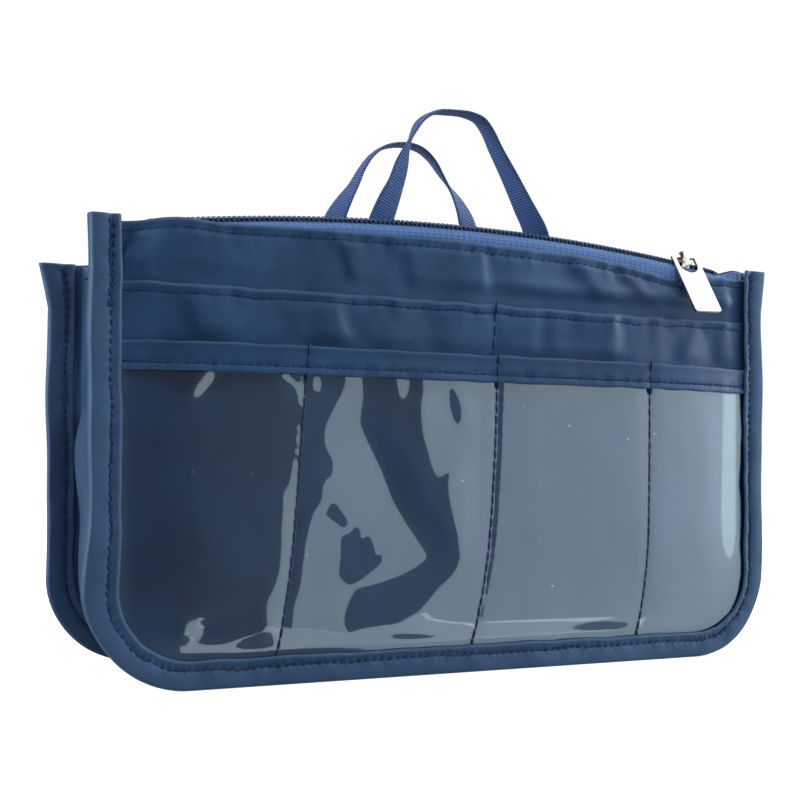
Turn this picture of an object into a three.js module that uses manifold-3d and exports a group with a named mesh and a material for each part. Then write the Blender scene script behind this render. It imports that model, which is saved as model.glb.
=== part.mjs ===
// A soft toiletry bag: a bound nylon body with a clear front pocket, a zip compartment along the
// front edge, an open main compartment behind it and two webbing handles.
//
// Millimetres. X runs left to right seen from the front, Y from the front to the rear, Z up.
// The origin is under the middle of the bag, on the surface that it stands on.
import * as THREE from 'three';
import Module from 'manifold-3d';

// Driving dimensions of the body
const bagWidth = 280;
const bagDepth = 90;
const frontHeight = 160;
const rearHeight = 157;
const cornerRadius = 34;

// The bound seams that stand out round the front and the rear
const bindingWidth = 10.5;
const bindingWall = 0.6;
const bindingFold = 1.2;
const seamTuck = 1.4;
const ease = 0.25;

// Thickness of each material
const clothThickness = 0.6;
const filmThickness = 0.4;
const tapeThickness = 0.5;
const webbingThickness = 1.2;

// How far the soft panels stand off their flat seams
const flatMargin = 1.5;
const bellySpan = 55;
const frontBelly = 5;
const dividerBelly = 3;
const mouthDepth = 40;
const rearBow = 22;
const rearBowSpan = 95;
const rearBowFoot = 40;

// Gusset: how far its middle lies in from the outline, low down and at the open top
const gussetLowInset = 7.5;
const gussetTopInset = 30;
const gussetFoldStart = 85;
const gussetTurn = 1.2;
const gussetHemHeight = 9;

// Pockets
const slipPocketHeight = 138;
const clearPocketHeight = 118.5;
const trimHeight = 10;
const trimWall = 0.5;
const rearPocketHeight = 120;

// Zip: an arc that rises in the middle, its face leaning to the front
const zipApex = 166.3;
const zipArcRadius = 850;
const zipSetback = 6.5;
const zipLean = THREE.MathUtils.degToRad(22);
const zipSideSpan = 8.5;
const zipEndSpare = 1.5;
const foldDrop = 5.3;
const toothPitch = 1.85;
const toothWidth = 0.65;
const toothReach = 1.1;
const teethHalfWidth = 2.3;
const teethHeight = 1.4;
const tapeSlot = 0.6;
const tapeDrop = 11;
const stopLength = 2;

// Slider and pull
const sliderSpare = 17.5;
const sliderLength = 7.4;
const sliderWidth = 7.6;
const sliderPlate = 0.9;
const sliderTail = 0.36;
const runningGap = 0.3;
const crownWidth = 3;
const crownWall = 0.9;
const pullLength = 30;
const pullWidth = 12.5;
const pullThickness = 1.2;
const pullEyeBar = 1.6;
const pullEyeLength = 8.2;
const pullCorner = 1.2;
const pullLean = THREE.MathUtils.degToRad(37);
const pullSwing = THREE.MathUtils.degToRad(6);

// Handles
const webbingWidth = 10;
const handleTop = 212;
const frontHandleSpread = 29.5;
const frontHandleHinge = 169.8;
const frontHandleLean = THREE.MathUtils.degToRad(6.5);
const rearHandleSpread = 33;
const rearHandleHinge = 158.2;
const rearHandleLean = THREE.MathUtils.degToRad(10);
const handleEndGap = 0.95;
const handleEndLength = 20;
const legSlope = 0.4;
const shoulderShare = 0.57;
const twistShare = 0.85;

// How finely the curved pieces are divided
const cornerRows = 4;
const rowPitch = 21;
const leastRow = rowPitch / 8;
const panelSteps = 10;
const bindingCornerSteps = 6;
const gussetCornerSteps = 5;
const gussetSteps = 10;
const bottomSteps = 2;
const tapeSteps = 16;
const loopSteps = 14;
const handleEndSteps = 4;
const planSegments = 5;
const eyeSegments = 6;
const crownSegments = 10;
const weldDigits = 4;

// Values that follow from the sizes above
const halfWidth = bagWidth / 2;
const teethBase = tapeThickness + ease;
const plateBase = teethBase + teethHeight + runningGap;
const plateTop = plateBase + sliderPlate;
const barReach = Math.hypot(pullEyeBar, pullThickness) / 2;
const pivotHeight = plateTop + barReach + ease;

// The pull stands out in front of the front seam, and the origin is midway in the whole depth
const pullShank = (pullLength - pullEyeBar / 2 - pullCorner) * Math.cos(pullSwing);
const pullFoot = pullShank + (pullWidth / 2 - pullCorner) * Math.sin(pullSwing) + pullCorner;
const pullReach = pullFoot * Math.sin(pullLean) + (pullThickness / 2) * Math.cos(pullLean);
const overhang = pivotHeight * Math.sin(zipLean) + pullReach - zipSetback;
const frontPlane = (overhang - bagDepth) / 2;
const rearPlane = frontPlane + bagDepth;
const zipY = frontPlane + zipSetback;
const flatEdge = bindingWidth + flatMargin;
const zipEnd = halfWidth - flatEdge - zipSideSpan;
const zipHalfLength = zipEnd - zipEndSpare;
const sliderPlace = zipEnd - sliderSpare;

// The stack of layers inside the front seam, from the front to the rear
const filmFront = frontPlane + bindingWall + ease;
const slipFront = filmFront + filmThickness + ease;
const panelFront = slipFront + clothThickness + ease;
const dividerFront = panelFront + clothThickness + ease;
const gussetFrontFin = dividerFront + clothThickness + ease;
const frontBindingRear = gussetFrontFin + clothThickness + ease + bindingWall;

// The stack inside the rear seam, from the rear to the front
const rearPocketFront = rearPlane - bindingWall - ease - clothThickness;
const rearPanelFront = rearPocketFront - ease - clothThickness;
const gussetRearFin = rearPanelFront - ease - clothThickness;
const rearBindingFront = gussetRearFin - ease - bindingWall;

// The tapes bend down just outside the slider, and the panels stand clear of them
const tapeBend = sliderWidth / 2 + runningGap + tapeThickness;
const tapeOuter = (tapeBend + tapeThickness) * Math.cos(zipLean);
const frontTapeY = zipY - tapeOuter - tapeThickness * Math.sin(zipLean);
const rearTapeY = zipY + tapeOuter - tapeThickness * Math.sin(zipLean);
const frontMouth = panelFront + clothThickness + ease - frontTapeY;
const rearMouth = rearTapeY + ease - dividerFront;
const tapeCover = tapeDrop - foldDrop + tapeThickness;

const wasm = await Module();
wasm.setup();

const finishes = {
  nylon: { color: 0x2a4468, roughness: 0.55, metalness: 0 },
  binding: { color: 0x2c4a70, roughness: 0.6, metalness: 0 },
  film: { color: 0x8fa3b5, roughness: 0.08, metalness: 0, transparent: true, opacity: 0.4 },
  tape: { color: 0x3c5c9c, roughness: 0.8, metalness: 0 },
  teeth: { color: 0x16233f, roughness: 0.4, metalness: 0 },
  metal: { color: 0xd9d3bd, roughness: 0.3, metalness: 1 },
  webbing: { color: 0x24437c, roughness: 0.75, metalness: 0 },
};

const bag = new THREE.Group();

// Give a geometry a name and a finish, and put it in a group.
function addPiece(name, finish, geometry, parent = bag) {
  const mesh = new THREE.Mesh(geometry, new THREE.MeshStandardMaterial(finishes[finish]));
  mesh.name = name;
  parent.add(mesh);
  return mesh;
}

const clamp01 = (value) => Math.min(1, Math.max(0, value));
const smooth = (value) => clamp01(value) ** 2 * (3 - 2 * clamp01(value));
const swell = (value) => Math.sin((Math.PI / 2) * clamp01(value));
const steps = (from, to, count) =>
  Array.from({ length: count + 1 }, (_, k) => from + ((to - from) * k) / count);

// A closed sheet between two grids of points that share their rows and columns.
function sheetBetween(near, far) {
  const rows = near.length;
  const cols = near[0].length;
  const points = [...near.flat(), ...far.flat()];
  const index = [];
  const at = (side, row, col) => (side * rows + row) * cols + col;
  const quad = (a, b, c, d) => index.push(a, b, c, a, c, d);
  for (let row = 0; row < rows - 1; row += 1) {
    for (let col = 0; col < cols - 1; col += 1) {
      quad(at(0, row, col), at(0, row, col + 1), at(0, row + 1, col + 1), at(0, row + 1, col));
      quad(at(1, row, col), at(1, row + 1, col), at(1, row + 1, col + 1), at(1, row, col + 1));
    }
    const right = cols - 1;
    quad(at(0, row, 0), at(0, row + 1, 0), at(1, row + 1, 0), at(1, row, 0));
    quad(at(0, row, right), at(1, row, right), at(1, row + 1, right), at(0, row + 1, right));
  }
  for (let col = 0; col < cols - 1; col += 1) {
    const top = rows - 1;
    quad(at(0, 0, col), at(1, 0, col), at(1, 0, col + 1), at(0, 0, col + 1));
    quad(at(0, top, col), at(0, top, col + 1), at(1, top, col + 1), at(1, top, col));
  }
  return facingOut(points, index);
}

// Turn a closed mesh so that its faces point outwards.
function facingOut(points, index) {
  let volume = 0;
  const cross = new THREE.Vector3();
  for (let k = 0; k < index.length; k += 3) {
    const [a, b, c] = [points[index[k]], points[index[k + 1]], points[index[k + 2]]];
    volume += a.dot(cross.crossVectors(b, c));
  }
  const geometry = new THREE.BufferGeometry().setFromPoints(points);
  geometry.setIndex(volume < 0 ? index.slice().reverse() : index);
  geometry.computeVertexNormals();
  return geometry;
}

// Rows of a panel that lies `inset` in from the outline: half its width there, and its height.
// They climb round the bottom corners by angle, then up the sides at heights that all panels
// share, so that the layers stay parallel. The last row follows the panel's top.
function outlineRows(inset, top, cover) {
  const radius = cornerRadius - inset;
  const half = halfWidth - inset;
  const corner = steps(0, Math.PI / 2, cornerRows).map((angle) => ({
    half: half - radius + radius * Math.sin(angle),
    height: () => cornerRadius - radius * Math.cos(angle),
  }));
  const count = Math.floor((top(half) - cover - cornerRadius - leastRow) / rowPitch);
  const side = steps(1, count, count - 1).map((k) => ({
    half,
    height: () => cornerRadius + rowPitch * k,
  }));
  const covered = cover > 0 ? [{ half, height: (x) => top(x) - cover }] : [];
  return [...corner, ...side, ...covered, { half, height: top }];
}

// Columns of a panel, closer together where it leaves its seams.
function panelColumns(inset) {
  const edge = halfWidth - inset;
  const seam = halfWidth - flatEdge;
  const inner = steps(zipSideSpan - seam, seam - zipSideSpan, panelSteps);
  const left = [-edge, -seam, zipSideSpan / 2 - seam];
  return [...left, ...inner, ...left.map((x) => -x).reverse()].map((x) => x / edge);
}

// A panel between its seams: top(x) is its upper edge, front(x, z) its front face, and cover
// the height of the band along its top that lies over a zip tape.
function panel(thickness, top, front, cover = 0) {
  const side = (offset) =>
    outlineRows(seamTuck, top, cover).map(({ half, height }) =>
      panelColumns(seamTuck).map((share) => {
        const x = share * half;
        return new THREE.Vector3(x, front(x, height(x)) + offset, height(x));
      }),
    );
  return sheetBetween(side(0), side(thickness));
}

// How strongly a panel swells at a point: none in the flat seam, all of it well inside.
const sideSwell = (x, span) => swell((halfWidth - flatEdge - Math.abs(x)) / span);
const footSwell = (z, span) => swell((z - flatEdge) / span);
const mouthSwell = (x) => smooth((halfWidth - flatEdge - Math.abs(x)) / zipSideSpan);
const zipHeight = (x) => zipApex - zipArcRadius + Math.sqrt(zipArcRadius ** 2 - x ** 2);
const foldHeight = (x) => zipHeight(x) - foldDrop;
const mouthRise = (x, z) => smooth((z - foldHeight(x) + mouthDepth) / (mouthDepth - tapeCover));

// Forward swell of the front panel and its pockets, and rearward swell of the divider.
function frontSwell(x, z) {
  const belly = frontBelly * sideSwell(x, bellySpan) * footSwell(z, bellySpan);
  return belly * (1 - mouthRise(x, z)) + frontMouth * mouthSwell(x) * mouthRise(x, z);
}
function dividerSwell(x, z) {
  const belly = dividerBelly * sideSwell(x, bellySpan) * footSwell(z, bellySpan);
  return belly * (1 - mouthRise(x, z)) + rearMouth * mouthSwell(x) * mouthRise(x, z);
}
// The rear panel's open edge bows towards the front.
function rearSwell(x, z) {
  return rearBow * sideSwell(x, rearBowSpan) * smooth((z - rearBowFoot) / (rearHeight - rearBowFoot));
}
const dividerFace = (x, z) => dividerFront + dividerSwell(x, z);
const rearPanelFace = (x, z) => rearPanelFront - rearSwell(x, z);

// Panels and pockets
const flatTop = (height) => () => height;
const filmTop = clearPocketHeight - trimWall - ease;
const panelFace = (x, z) => panelFront - frontSwell(x, z);
addPiece('front_panel', 'nylon', panel(clothThickness, foldHeight, panelFace, tapeCover));
addPiece('divider_panel', 'nylon', panel(clothThickness, foldHeight, dividerFace, tapeCover));
addPiece('rear_panel', 'nylon', panel(clothThickness, flatTop(rearHeight), rearPanelFace));
const slipFace = (x, z) => slipFront - frontSwell(x, z);
addPiece('front_slip_pocket', 'nylon', panel(clothThickness, flatTop(slipPocketHeight), slipFace));
const filmFace = (x, z) => filmFront - frontSwell(x, z);
addPiece('clear_pocket', 'film', panel(filmThickness, flatTop(filmTop), filmFace));
const rearPocketFace = (x, z) => rearPocketFront - rearSwell(x, z);
addPiece('rear_slip_pocket', 'nylon', panel(clothThickness, flatTop(rearPocketHeight), rearPocketFace));

// The trim band is folded over the top edge of the film, between the bindings.
function trimBand() {
  const reach = halfWidth - bindingWidth - ease;
  const seam = halfWidth - flatEdge;
  const inner = steps(zipSideSpan - reach, reach - zipSideSpan, panelSteps);
  const columns = [-reach, -seam, ...inner, seam, reach];
  const foot = clearPocketHeight - trimHeight;
  const grid = (profile) =>
    profile.map(([depth, z]) => columns.map((x) => new THREE.Vector3(x, filmFace(x, z) + depth, z)));
  const inside = clearPocketHeight - trimWall;
  const face = -ease - trimWall;
  const outerLine = [[face, foot], [face, clearPocketHeight], [filmThickness, clearPocketHeight]];
  const innerLine = [[-ease, foot], [-ease, inside], [filmThickness, inside]];
  return sheetBetween(grid(outerLine), grid(innerLine));
}
addPiece('clear_pocket_trim', 'nylon', trimBand());

// Stations along the outline: down the left side, round the bottom and up the right side.
// Each has a place on the outline and a direction inwards; `rise` climbs the straight sides.
function seamStations(sideRises, cornerCount) {
  const innerX = halfWidth - cornerRadius;
  const left = sideRises.map((rise) => ({ x: -halfWidth, z: cornerRadius, nx: 1, nz: 0, rise }));
  const corner = steps(0, Math.PI / 2, cornerCount)
    .slice(1)
    .map((angle) => ({
      x: -innerX - cornerRadius * Math.cos(angle),
      z: cornerRadius - cornerRadius * Math.sin(angle),
      nx: Math.cos(angle),
      nz: Math.sin(angle),
      rise: 0,
    }));
  const bottom = steps(-innerX, 0, bottomSteps)
    .slice(1)
    .map((x) => ({ x, z: 0, nx: 0, nz: 1, rise: 0 }));
  const half = [...left, ...corner, ...bottom];
  const mirrored = half
    .slice(0, -1)
    .reverse()
    .map((station) => ({ ...station, x: -station.x, nx: -station.nx }));
  return [...half, ...mirrored];
}

// A point `inset` in from a station's place, on a side that rises to `top`.
function seamPoint(station, inset, y, top) {
  const z = station.z + (top - station.z) * station.rise;
  return new THREE.Vector3(station.x + station.nx * inset, y, z + station.nz * inset);
}

// Binding: a tape folded over the seam, its fold flat where the bag stands on it.
function binding(front, rear, top) {
  const arc = (centreY, from, to, radius) =>
    steps(from, to, 2).map((angle) => [
      bindingFold - radius * Math.cos(angle),
      centreY + radius * Math.sin(angle),
    ]);
  const profile = (inwards) => [
    [bindingWidth, front + inwards],
    ...arc(front + bindingFold, -Math.PI / 2, 0, bindingFold - inwards),
    ...arc(rear - bindingFold, 0, Math.PI / 2, bindingFold - inwards),
    [bindingWidth, rear - inwards],
  ];
  const grid = (points) =>
    seamStations(steps(1, 0, 2), bindingCornerSteps).map((station) =>
      points.map(([inset, y]) => seamPoint(station, inset, y, top)),
    );
  return sheetBetween(grid(profile(0)), grid(profile(bindingWall)));
}
addPiece('front_binding', 'binding', binding(frontPlane, frontBindingRear, frontHeight));
addPiece('rear_binding', 'binding', binding(rearBindingFront, rearPlane, rearHeight));

// Gusset: the strip that joins the two seams. Its edges lie flat in the seams; between them it
// swells to the outline low down and folds inwards at the open top.
const finEnd = bindingWidth + ease + gussetTurn / 2;
const gussetStart = gussetFrontFin + clothThickness / 2;
const gussetStop = gussetRearFin + clothThickness / 2;
const gussetFrontTop = foldHeight(halfWidth);
const gussetTop = (y) =>
  gussetFrontTop + ((rearHeight - gussetFrontTop) * (y - gussetStart)) / (gussetStop - gussetStart);

function gussetInset(share, height) {
  const top = smooth((height - gussetFoldStart) / (rearHeight - gussetFoldStart));
  const middle = gussetLowInset + (gussetTopInset - gussetLowInset) * top;
  const seam = finEnd + gussetTurn;
  return seam + (middle - seam) * Math.sin(Math.PI * share) ** 2;
}

// Profile across the gusset at a height: in one seam, over to the other and into it.
function gussetProfile(height) {
  const across = steps(0, 1, gussetSteps).slice(1, -1);
  const start = gussetStart + 2 * gussetTurn;
  const stop = gussetStop - 2 * gussetTurn;
  return [
    [seamTuck, gussetStart],
    [finEnd, gussetStart],
    [finEnd + gussetTurn, gussetStart + gussetTurn],
    ...across.map((share) => [gussetInset(share, height), start + (stop - start) * share]),
    [finEnd + gussetTurn, gussetStop - gussetTurn],
    [finEnd, gussetStop],
    [seamTuck, gussetStop],
  ];
}

// A sheet that lies along the gusset at the given stations, from one offset to another.
function gussetSheet(stations, from, to, skipped = 0) {
  const grid = (offset) =>
    stations.map((station) => {
      const height = station.z + (rearHeight - station.z) * station.rise;
      const line = offsetLine(gussetProfile(height), offset);
      return line
        .slice(skipped, line.length - skipped)
        .map(([inset, y]) => seamPoint(station, inset, y, gussetTop(y)));
    });
  return sheetBetween(grid(from), grid(to));
}
const hemRise = 1 - gussetHemHeight / (rearHeight - cornerRadius);
const gussetStations = seamStations([1, hemRise, ...steps(2 / 3, 0, 2)], gussetCornerSteps);

// Move an open line of [inset, y] points sideways by a distance.
function offsetLine(points, distance) {
  return points.map(([inset, y], k) => {
    const before = points[Math.max(0, k - 1)];
    const after = points[Math.min(points.length - 1, k + 1)];
    const length = Math.hypot(after[0] - before[0], after[1] - before[1]);
    const stretch = k === 0 || k === points.length - 1 ? 1 : mitre(before, [inset, y], after);
    const away = (distance * stretch) / length;
    return [inset - (after[1] - before[1]) * away, y + (after[0] - before[0]) * away];
  });
}

// How much further a corner moves than its sides, so that the sheet keeps its thickness.
function mitre(before, at, after) {
  const first = Math.atan2(at[1] - before[1], at[0] - before[0]);
  const second = Math.atan2(after[1] - at[1], after[0] - at[0]);
  return 1 / Math.cos((second - first) / 2);
}
addPiece('gusset', 'nylon', gussetSheet(gussetStations, clothThickness / 2, -clothThickness / 2));

// Hems: the turned-in tops of the gusset, inside it and between the seams.
const hemFace = -clothThickness / 2 - ease;
const hemBack = hemFace - clothThickness;
addPiece('gusset_hem_left', 'nylon', gussetSheet(gussetStations.slice(0, 2), hemFace, hemBack, 3));
addPiece('gusset_hem_right', 'nylon', gussetSheet(gussetStations.slice(-2), hemFace, hemBack, 3));

// A point of the zip: along its arc, across it to the rear, and out of its face.
function zipPoint(along, across, out) {
  const angle = along / zipArcRadius;
  const radius = zipArcRadius + across * Math.sin(zipLean) + out * Math.cos(zipLean);
  return new THREE.Vector3(
    radius * Math.sin(angle),
    zipY + across * Math.cos(zipLean) - out * Math.sin(zipLean),
    zipApex - zipArcRadius + radius * Math.cos(angle),
  );
}

// Zip tape: flat under the teeth, then bent down behind the panel that it is sewn to.
function zipTape(side) {
  const stations = steps(-zipEnd, zipEnd, tapeSteps);
  const grid = (inwards) =>
    stations.map((along) => {
      const bend = tapeBend + tapeThickness - inwards;
      const flat = [tapeSlot, teethHalfWidth, bend].map((across) =>
        zipPoint(along, side * across, tapeThickness - inwards),
      );
      const foot = flat[flat.length - 1].clone();
      foot.y = (side > 0 ? rearTapeY : frontTapeY) - side * inwards;
      foot.z = zipHeight(foot.x) - tapeDrop;
      return [...flat, foot];
    });
  return sheetBetween(grid(0), grid(tapeThickness));
}
addPiece('zip_tape_front', 'tape', zipTape(-1));
addPiece('zip_tape_rear', 'tape', zipTape(1));

// Zip teeth: one comb for each tape, set half a pitch apart so that the two rows mesh. A comb is
// a spine on its tape, from which each tooth reaches past the middle between two of the other row.
function zipTeeth(side) {
  const root = toothReach / 2 + ease;
  const count = Math.floor((2 * zipHalfLength) / toothPitch) - 1;
  const first = (-toothPitch * (count + side / 2)) / 2;
  const points = [];
  const index = [];
  const corner = (along, across) => {
    points.push(zipPoint(along, side * across, teethBase));
    points.push(zipPoint(along, side * across, teethBase + teethHeight));
    return points.length - 2;
  };
  const face = (a, b, c) => index.push(a + 1, b + 1, c + 1, a, c, b);
  const wall = (a, b) => index.push(a, b, b + 1, a, b + 1, a + 1);
  let outer = corner(first, teethHalfWidth);
  let start = corner(first, root);
  wall(outer, start);
  for (let k = 0; k < count; k += 1) {
    const along = first + k * toothPitch;
    const tipStart = corner(along, -toothReach / 2);
    const tipEnd = corner(along + toothWidth, -toothReach / 2);
    const end = corner(along + toothWidth, root);
    const nextStart = corner(along + toothPitch, root);
    const nextOuter = corner(along + toothPitch, teethHalfWidth);
    face(outer, start, end);
    face(outer, end, nextStart);
    face(outer, nextStart, nextOuter);
    face(start, tipStart, tipEnd);
    face(start, tipEnd, end);
    wall(start, tipStart);
    wall(tipStart, tipEnd);
    wall(tipEnd, end);
    wall(end, nextStart);
    wall(nextOuter, outer);
    outer = nextOuter;
    start = nextStart;
  }
  wall(start, outer);
  return facingOut(points, index);
}

// Bend a geometry drawn as (along, across, out) onto the zip's arc.
function bendOntoZip(geometry, side) {
  geometry.deleteAttribute('normal');
  geometry.deleteAttribute('uv');
  const position = geometry.getAttribute('position');
  const points = [];
  const index = [];
  for (let k = 0; k < position.count; k += 1) {
    points.push(zipPoint(position.getX(k), side * position.getY(k), teethBase + position.getZ(k)));
    index.push(k);
  }
  return facingOut(points, index);
}
addPiece('zip_teeth_front', 'teeth', zipTeeth(-1));
addPiece('zip_teeth_rear', 'teeth', zipTeeth(1));

// Stops: the bottom stop joins both rows, and each row has a top stop of its own.
function zipStop(along, nearest, farthest, side) {
  const shape = new THREE.Shape([
    new THREE.Vector2(along, nearest),
    new THREE.Vector2(along + stopLength, nearest),
    new THREE.Vector2(along + stopLength, farthest),
    new THREE.Vector2(along, farthest),
  ]);
  const block = new THREE.ExtrudeGeometry(shape, { depth: teethHeight, bevelEnabled: false });
  return bendOntoZip(block, side);
}
const stopStart = zipEnd - stopLength - ease;
const bottomStart = -stopStart - stopLength;
addPiece('zip_bottom_stop', 'metal', zipStop(bottomStart, -teethHalfWidth, teethHalfWidth, 1));
addPiece('zip_top_stop_front', 'metal', zipStop(stopStart, tapeSlot, teethHalfWidth, -1));
addPiece('zip_top_stop_rear', 'metal', zipStop(stopStart, tapeSlot, teethHalfWidth, 1));

// A closed geometry as a solid, and back again.
function asSolid(geometry) {
  const keys = new Map();
  const vertices = [];
  const triangles = [];
  const position = geometry.getAttribute('position');
  const last = position.count - 1;
  const order = geometry.index ? Array.from(geometry.index.array) : steps(0, last, last);
  order.forEach((k) => {
    const place = [position.getX(k), position.getY(k), position.getZ(k)];
    const key = place.map((value) => value.toFixed(weldDigits)).join();
    if (!keys.has(key)) {
      keys.set(key, vertices.length / 3);
      vertices.push(...place);
    }
    triangles.push(keys.get(key));
  });
  const vertProperties = new Float32Array(vertices);
  const triVerts = new Uint32Array(triangles);
  return new wasm.Manifold(new wasm.Mesh({ numProp: 3, vertProperties, triVerts }));
}
function asGeometry(solid) {
  const mesh = solid.getMesh();
  const geometry = new THREE.BufferGeometry();
  const places = new Float32Array(mesh.vertProperties);
  geometry.setAttribute('position', new THREE.BufferAttribute(places, 3));
  geometry.setIndex(new THREE.BufferAttribute(new Uint32Array(mesh.triVerts), 1));
  geometry.computeVertexNormals();
  return geometry;
}

// Slider frame: X along the zip, Y across it to the rear, Z out of its face.
const slider = new THREE.Group();
const sliderAngle = Math.asin(sliderPlace / zipArcRadius);
slider.position.copy(zipPoint(sliderAngle * zipArcRadius, 0, 0));
slider.rotation.set(zipLean, sliderAngle, 0, 'YXZ');
bag.add(slider);

// Plan of a slider plate: full width over the nose, narrower at the tail.
function sliderPlan(thickness, width) {
  const half = sliderLength / 2;
  const tail = width * sliderTail;
  const plan = new THREE.Shape();
  plan.moveTo(-half, -tail);
  plan.quadraticCurveTo(-half / 2, -width / 2, 0, -width / 2);
  plan.quadraticCurveTo(half, -width / 2, half, 0);
  plan.quadraticCurveTo(half, width / 2, 0, width / 2);
  plan.quadraticCurveTo(-half / 2, width / 2, -half, tail);
  const depth = { depth: thickness, bevelEnabled: false, curveSegments: planSegments };
  return new THREE.ExtrudeGeometry(plan, depth);
}

// Slider body: a top plate with side lips, and a crown over it that holds the pull.
function sliderBody() {
  const plate = asSolid(sliderPlan(sliderPlate, sliderWidth).translate(0, 0, plateBase));
  const lipHeight = plateTop - tapeThickness - runningGap;
  const lipDepth = sliderWidth / 2 - teethHalfWidth - runningGap;
  const lip = new THREE.BoxGeometry(sliderLength / 2, lipDepth, lipHeight);
  const lipPlace = sliderWidth / 2 - lipDepth / 2 - ease;
  const lipZ = plateTop - lipHeight / 2;
  const rear = asSolid(lip.clone().translate(0, lipPlace, lipZ));
  const front = asSolid(lip.clone().translate(0, -lipPlace, lipZ));
  const inner = barReach + ease;
  const outer = inner + crownWall;
  const archHeight = pivotHeight - plateTop + sliderPlate / 2;
  const crown = new THREE.Shape();
  crown.moveTo(outer, 0);
  crown.lineTo(outer, archHeight);
  crown.absarc(0, archHeight, outer, 0, Math.PI, false);
  crown.lineTo(-outer, 0);
  crown.lineTo(-inner, 0);
  crown.lineTo(-inner, archHeight);
  crown.absarc(0, archHeight, inner, Math.PI, 0, true);
  crown.lineTo(inner, 0);
  const archDepth = { depth: crownWidth, bevelEnabled: false, curveSegments: crownSegments };
  const arch = new THREE.ExtrudeGeometry(crown, archDepth);
  arch.translate(0, 0, -crownWidth / 2);
  arch.rotateX(Math.PI / 2).rotateZ(Math.PI / 2);
  arch.translate(0, 0, plateTop - sliderPlate / 2);
  return asGeometry(plate.add(rear).add(front).add(asSolid(arch)));
}
addPiece('slider_body', 'metal', sliderBody(), slider);
const sliderBase = sliderPlan(sliderPlate, sliderWidth).translate(0, 0, -runningGap - sliderPlate);
addPiece('slider_base', 'metal', asGeometry(asSolid(sliderBase)), slider);

// Pull: a flat plate whose eye goes round the crown; it leans on the zip tape.
function pullTab() {
  const half = pullWidth / 2;
  const top = pullEyeBar / 2;
  const foot = top - pullLength;
  const plate = new THREE.Shape();
  plate.moveTo(-half + pullCorner, foot);
  plate.lineTo(half - pullCorner, foot);
  plate.absarc(half - pullCorner, foot + pullCorner, pullCorner, -Math.PI / 2, 0, false);
  plate.lineTo(half, top - pullCorner);
  plate.absarc(half - pullCorner, top - pullCorner, pullCorner, 0, Math.PI / 2, false);
  plate.lineTo(-half + pullCorner, top);
  plate.absarc(-half + pullCorner, top - pullCorner, pullCorner, Math.PI / 2, Math.PI, false);
  plate.lineTo(-half, foot + pullCorner);
  plate.absarc(-half + pullCorner, foot + pullCorner, pullCorner, Math.PI, 1.5 * Math.PI, false);
  const eye = new THREE.Path();
  const eyeHalf = sliderLength / 2 + runningGap + pivotHeight * Math.sin(pullSwing);
  const eyeTop = -pullEyeBar / 2;
  eye.moveTo(-eyeHalf, eyeTop);
  eye.lineTo(-eyeHalf, eyeTop - pullEyeLength + eyeHalf);
  eye.absarc(0, eyeTop - pullEyeLength + eyeHalf, eyeHalf, Math.PI, 2 * Math.PI, false);
  eye.lineTo(eyeHalf, eyeTop);
  eye.closePath();
  plate.holes.push(eye);
  const depth = { depth: pullThickness, bevelEnabled: false, curveSegments: eyeSegments };
  return new THREE.ExtrudeGeometry(plate, depth).translate(0, 0, -pullThickness / 2);
}
const pull = new THREE.Group();
pull.position.set(0, 0, pivotHeight);
pull.rotation.x = Math.PI / 2 - pullLean - zipLean;
slider.add(pull);
addPiece('pull_tab', 'metal', pullTab(), pull).rotation.z = pullSwing;

// Half a handle's loop: a strap that leaves the panel face on, and turns its face up at the top.
function handleLoop(spread, rise, lean, hingeY, hingeZ) {
  const start = handleEndGap - ease;
  const curve = new THREE.CubicBezierCurve3(
    new THREE.Vector3(-spread, 0, 0),
    new THREE.Vector3(-spread + rise * legSlope, 0, rise / 2),
    new THREE.Vector3(-spread * shoulderShare, 0, rise),
    new THREE.Vector3(0, 0, rise),
  );
  const facing = new THREE.Vector3(0, 1, 0);
  const slant = new THREE.Matrix4().makeRotationX(lean).setPosition(0, hingeY, hingeZ);
  const side = (offset) => {
    const rows = steps(0, 1, loopSteps).map((share) => {
      const place = curve.getPoint(share);
      place.z = start + place.z * (1 - start / rise);
      const ahead = curve.getTangent(share);
      const turn = (Math.PI / 2) * smooth(share / twistShare);
      const wide = new THREE.Vector3().crossVectors(facing, ahead).applyAxisAngle(ahead, turn);
      if (share === 0) wide.set(1, 0, 0);
      const out = new THREE.Vector3().crossVectors(wide, ahead).normalize();
      return [-1, 1].map((edge) =>
        place
          .clone()
          .addScaledVector(wide, (edge * webbingWidth) / 2)
          .addScaledVector(out, offset),
      );
    });
    const mirrored = rows
      .slice(0, -1)
      .reverse()
      .map((row) => row.map((point) => new THREE.Vector3(-point.x, point.y, point.z)));
    return [...rows, ...mirrored].map((row) => row.map((point) => point.applyMatrix4(slant)));
  };
  return sheetBetween(side(webbingThickness / 2), side(-webbingThickness / 2));
}

// A handle's sewn end: a strip on the panel's face that rises to the loop.
function handleEnd(side, spread, hingeY, hingeZ, face) {
  const top = hingeZ - ease;
  const foot = top - handleEndLength - (hingeZ - rearHandleHinge);
  const grid = (offset) =>
    steps(foot, top, handleEndSteps).map((z) =>
      [-1, 1].map((edge) => {
        const x = side * (spread + (hingeZ - z) * legSlope) + (edge * webbingWidth) / 2;
        return new THREE.Vector3(x, face(z) + offset, z);
      }),
    );
  return sheetBetween(grid(-webbingThickness / 2), grid(webbingThickness / 2));
}

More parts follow.
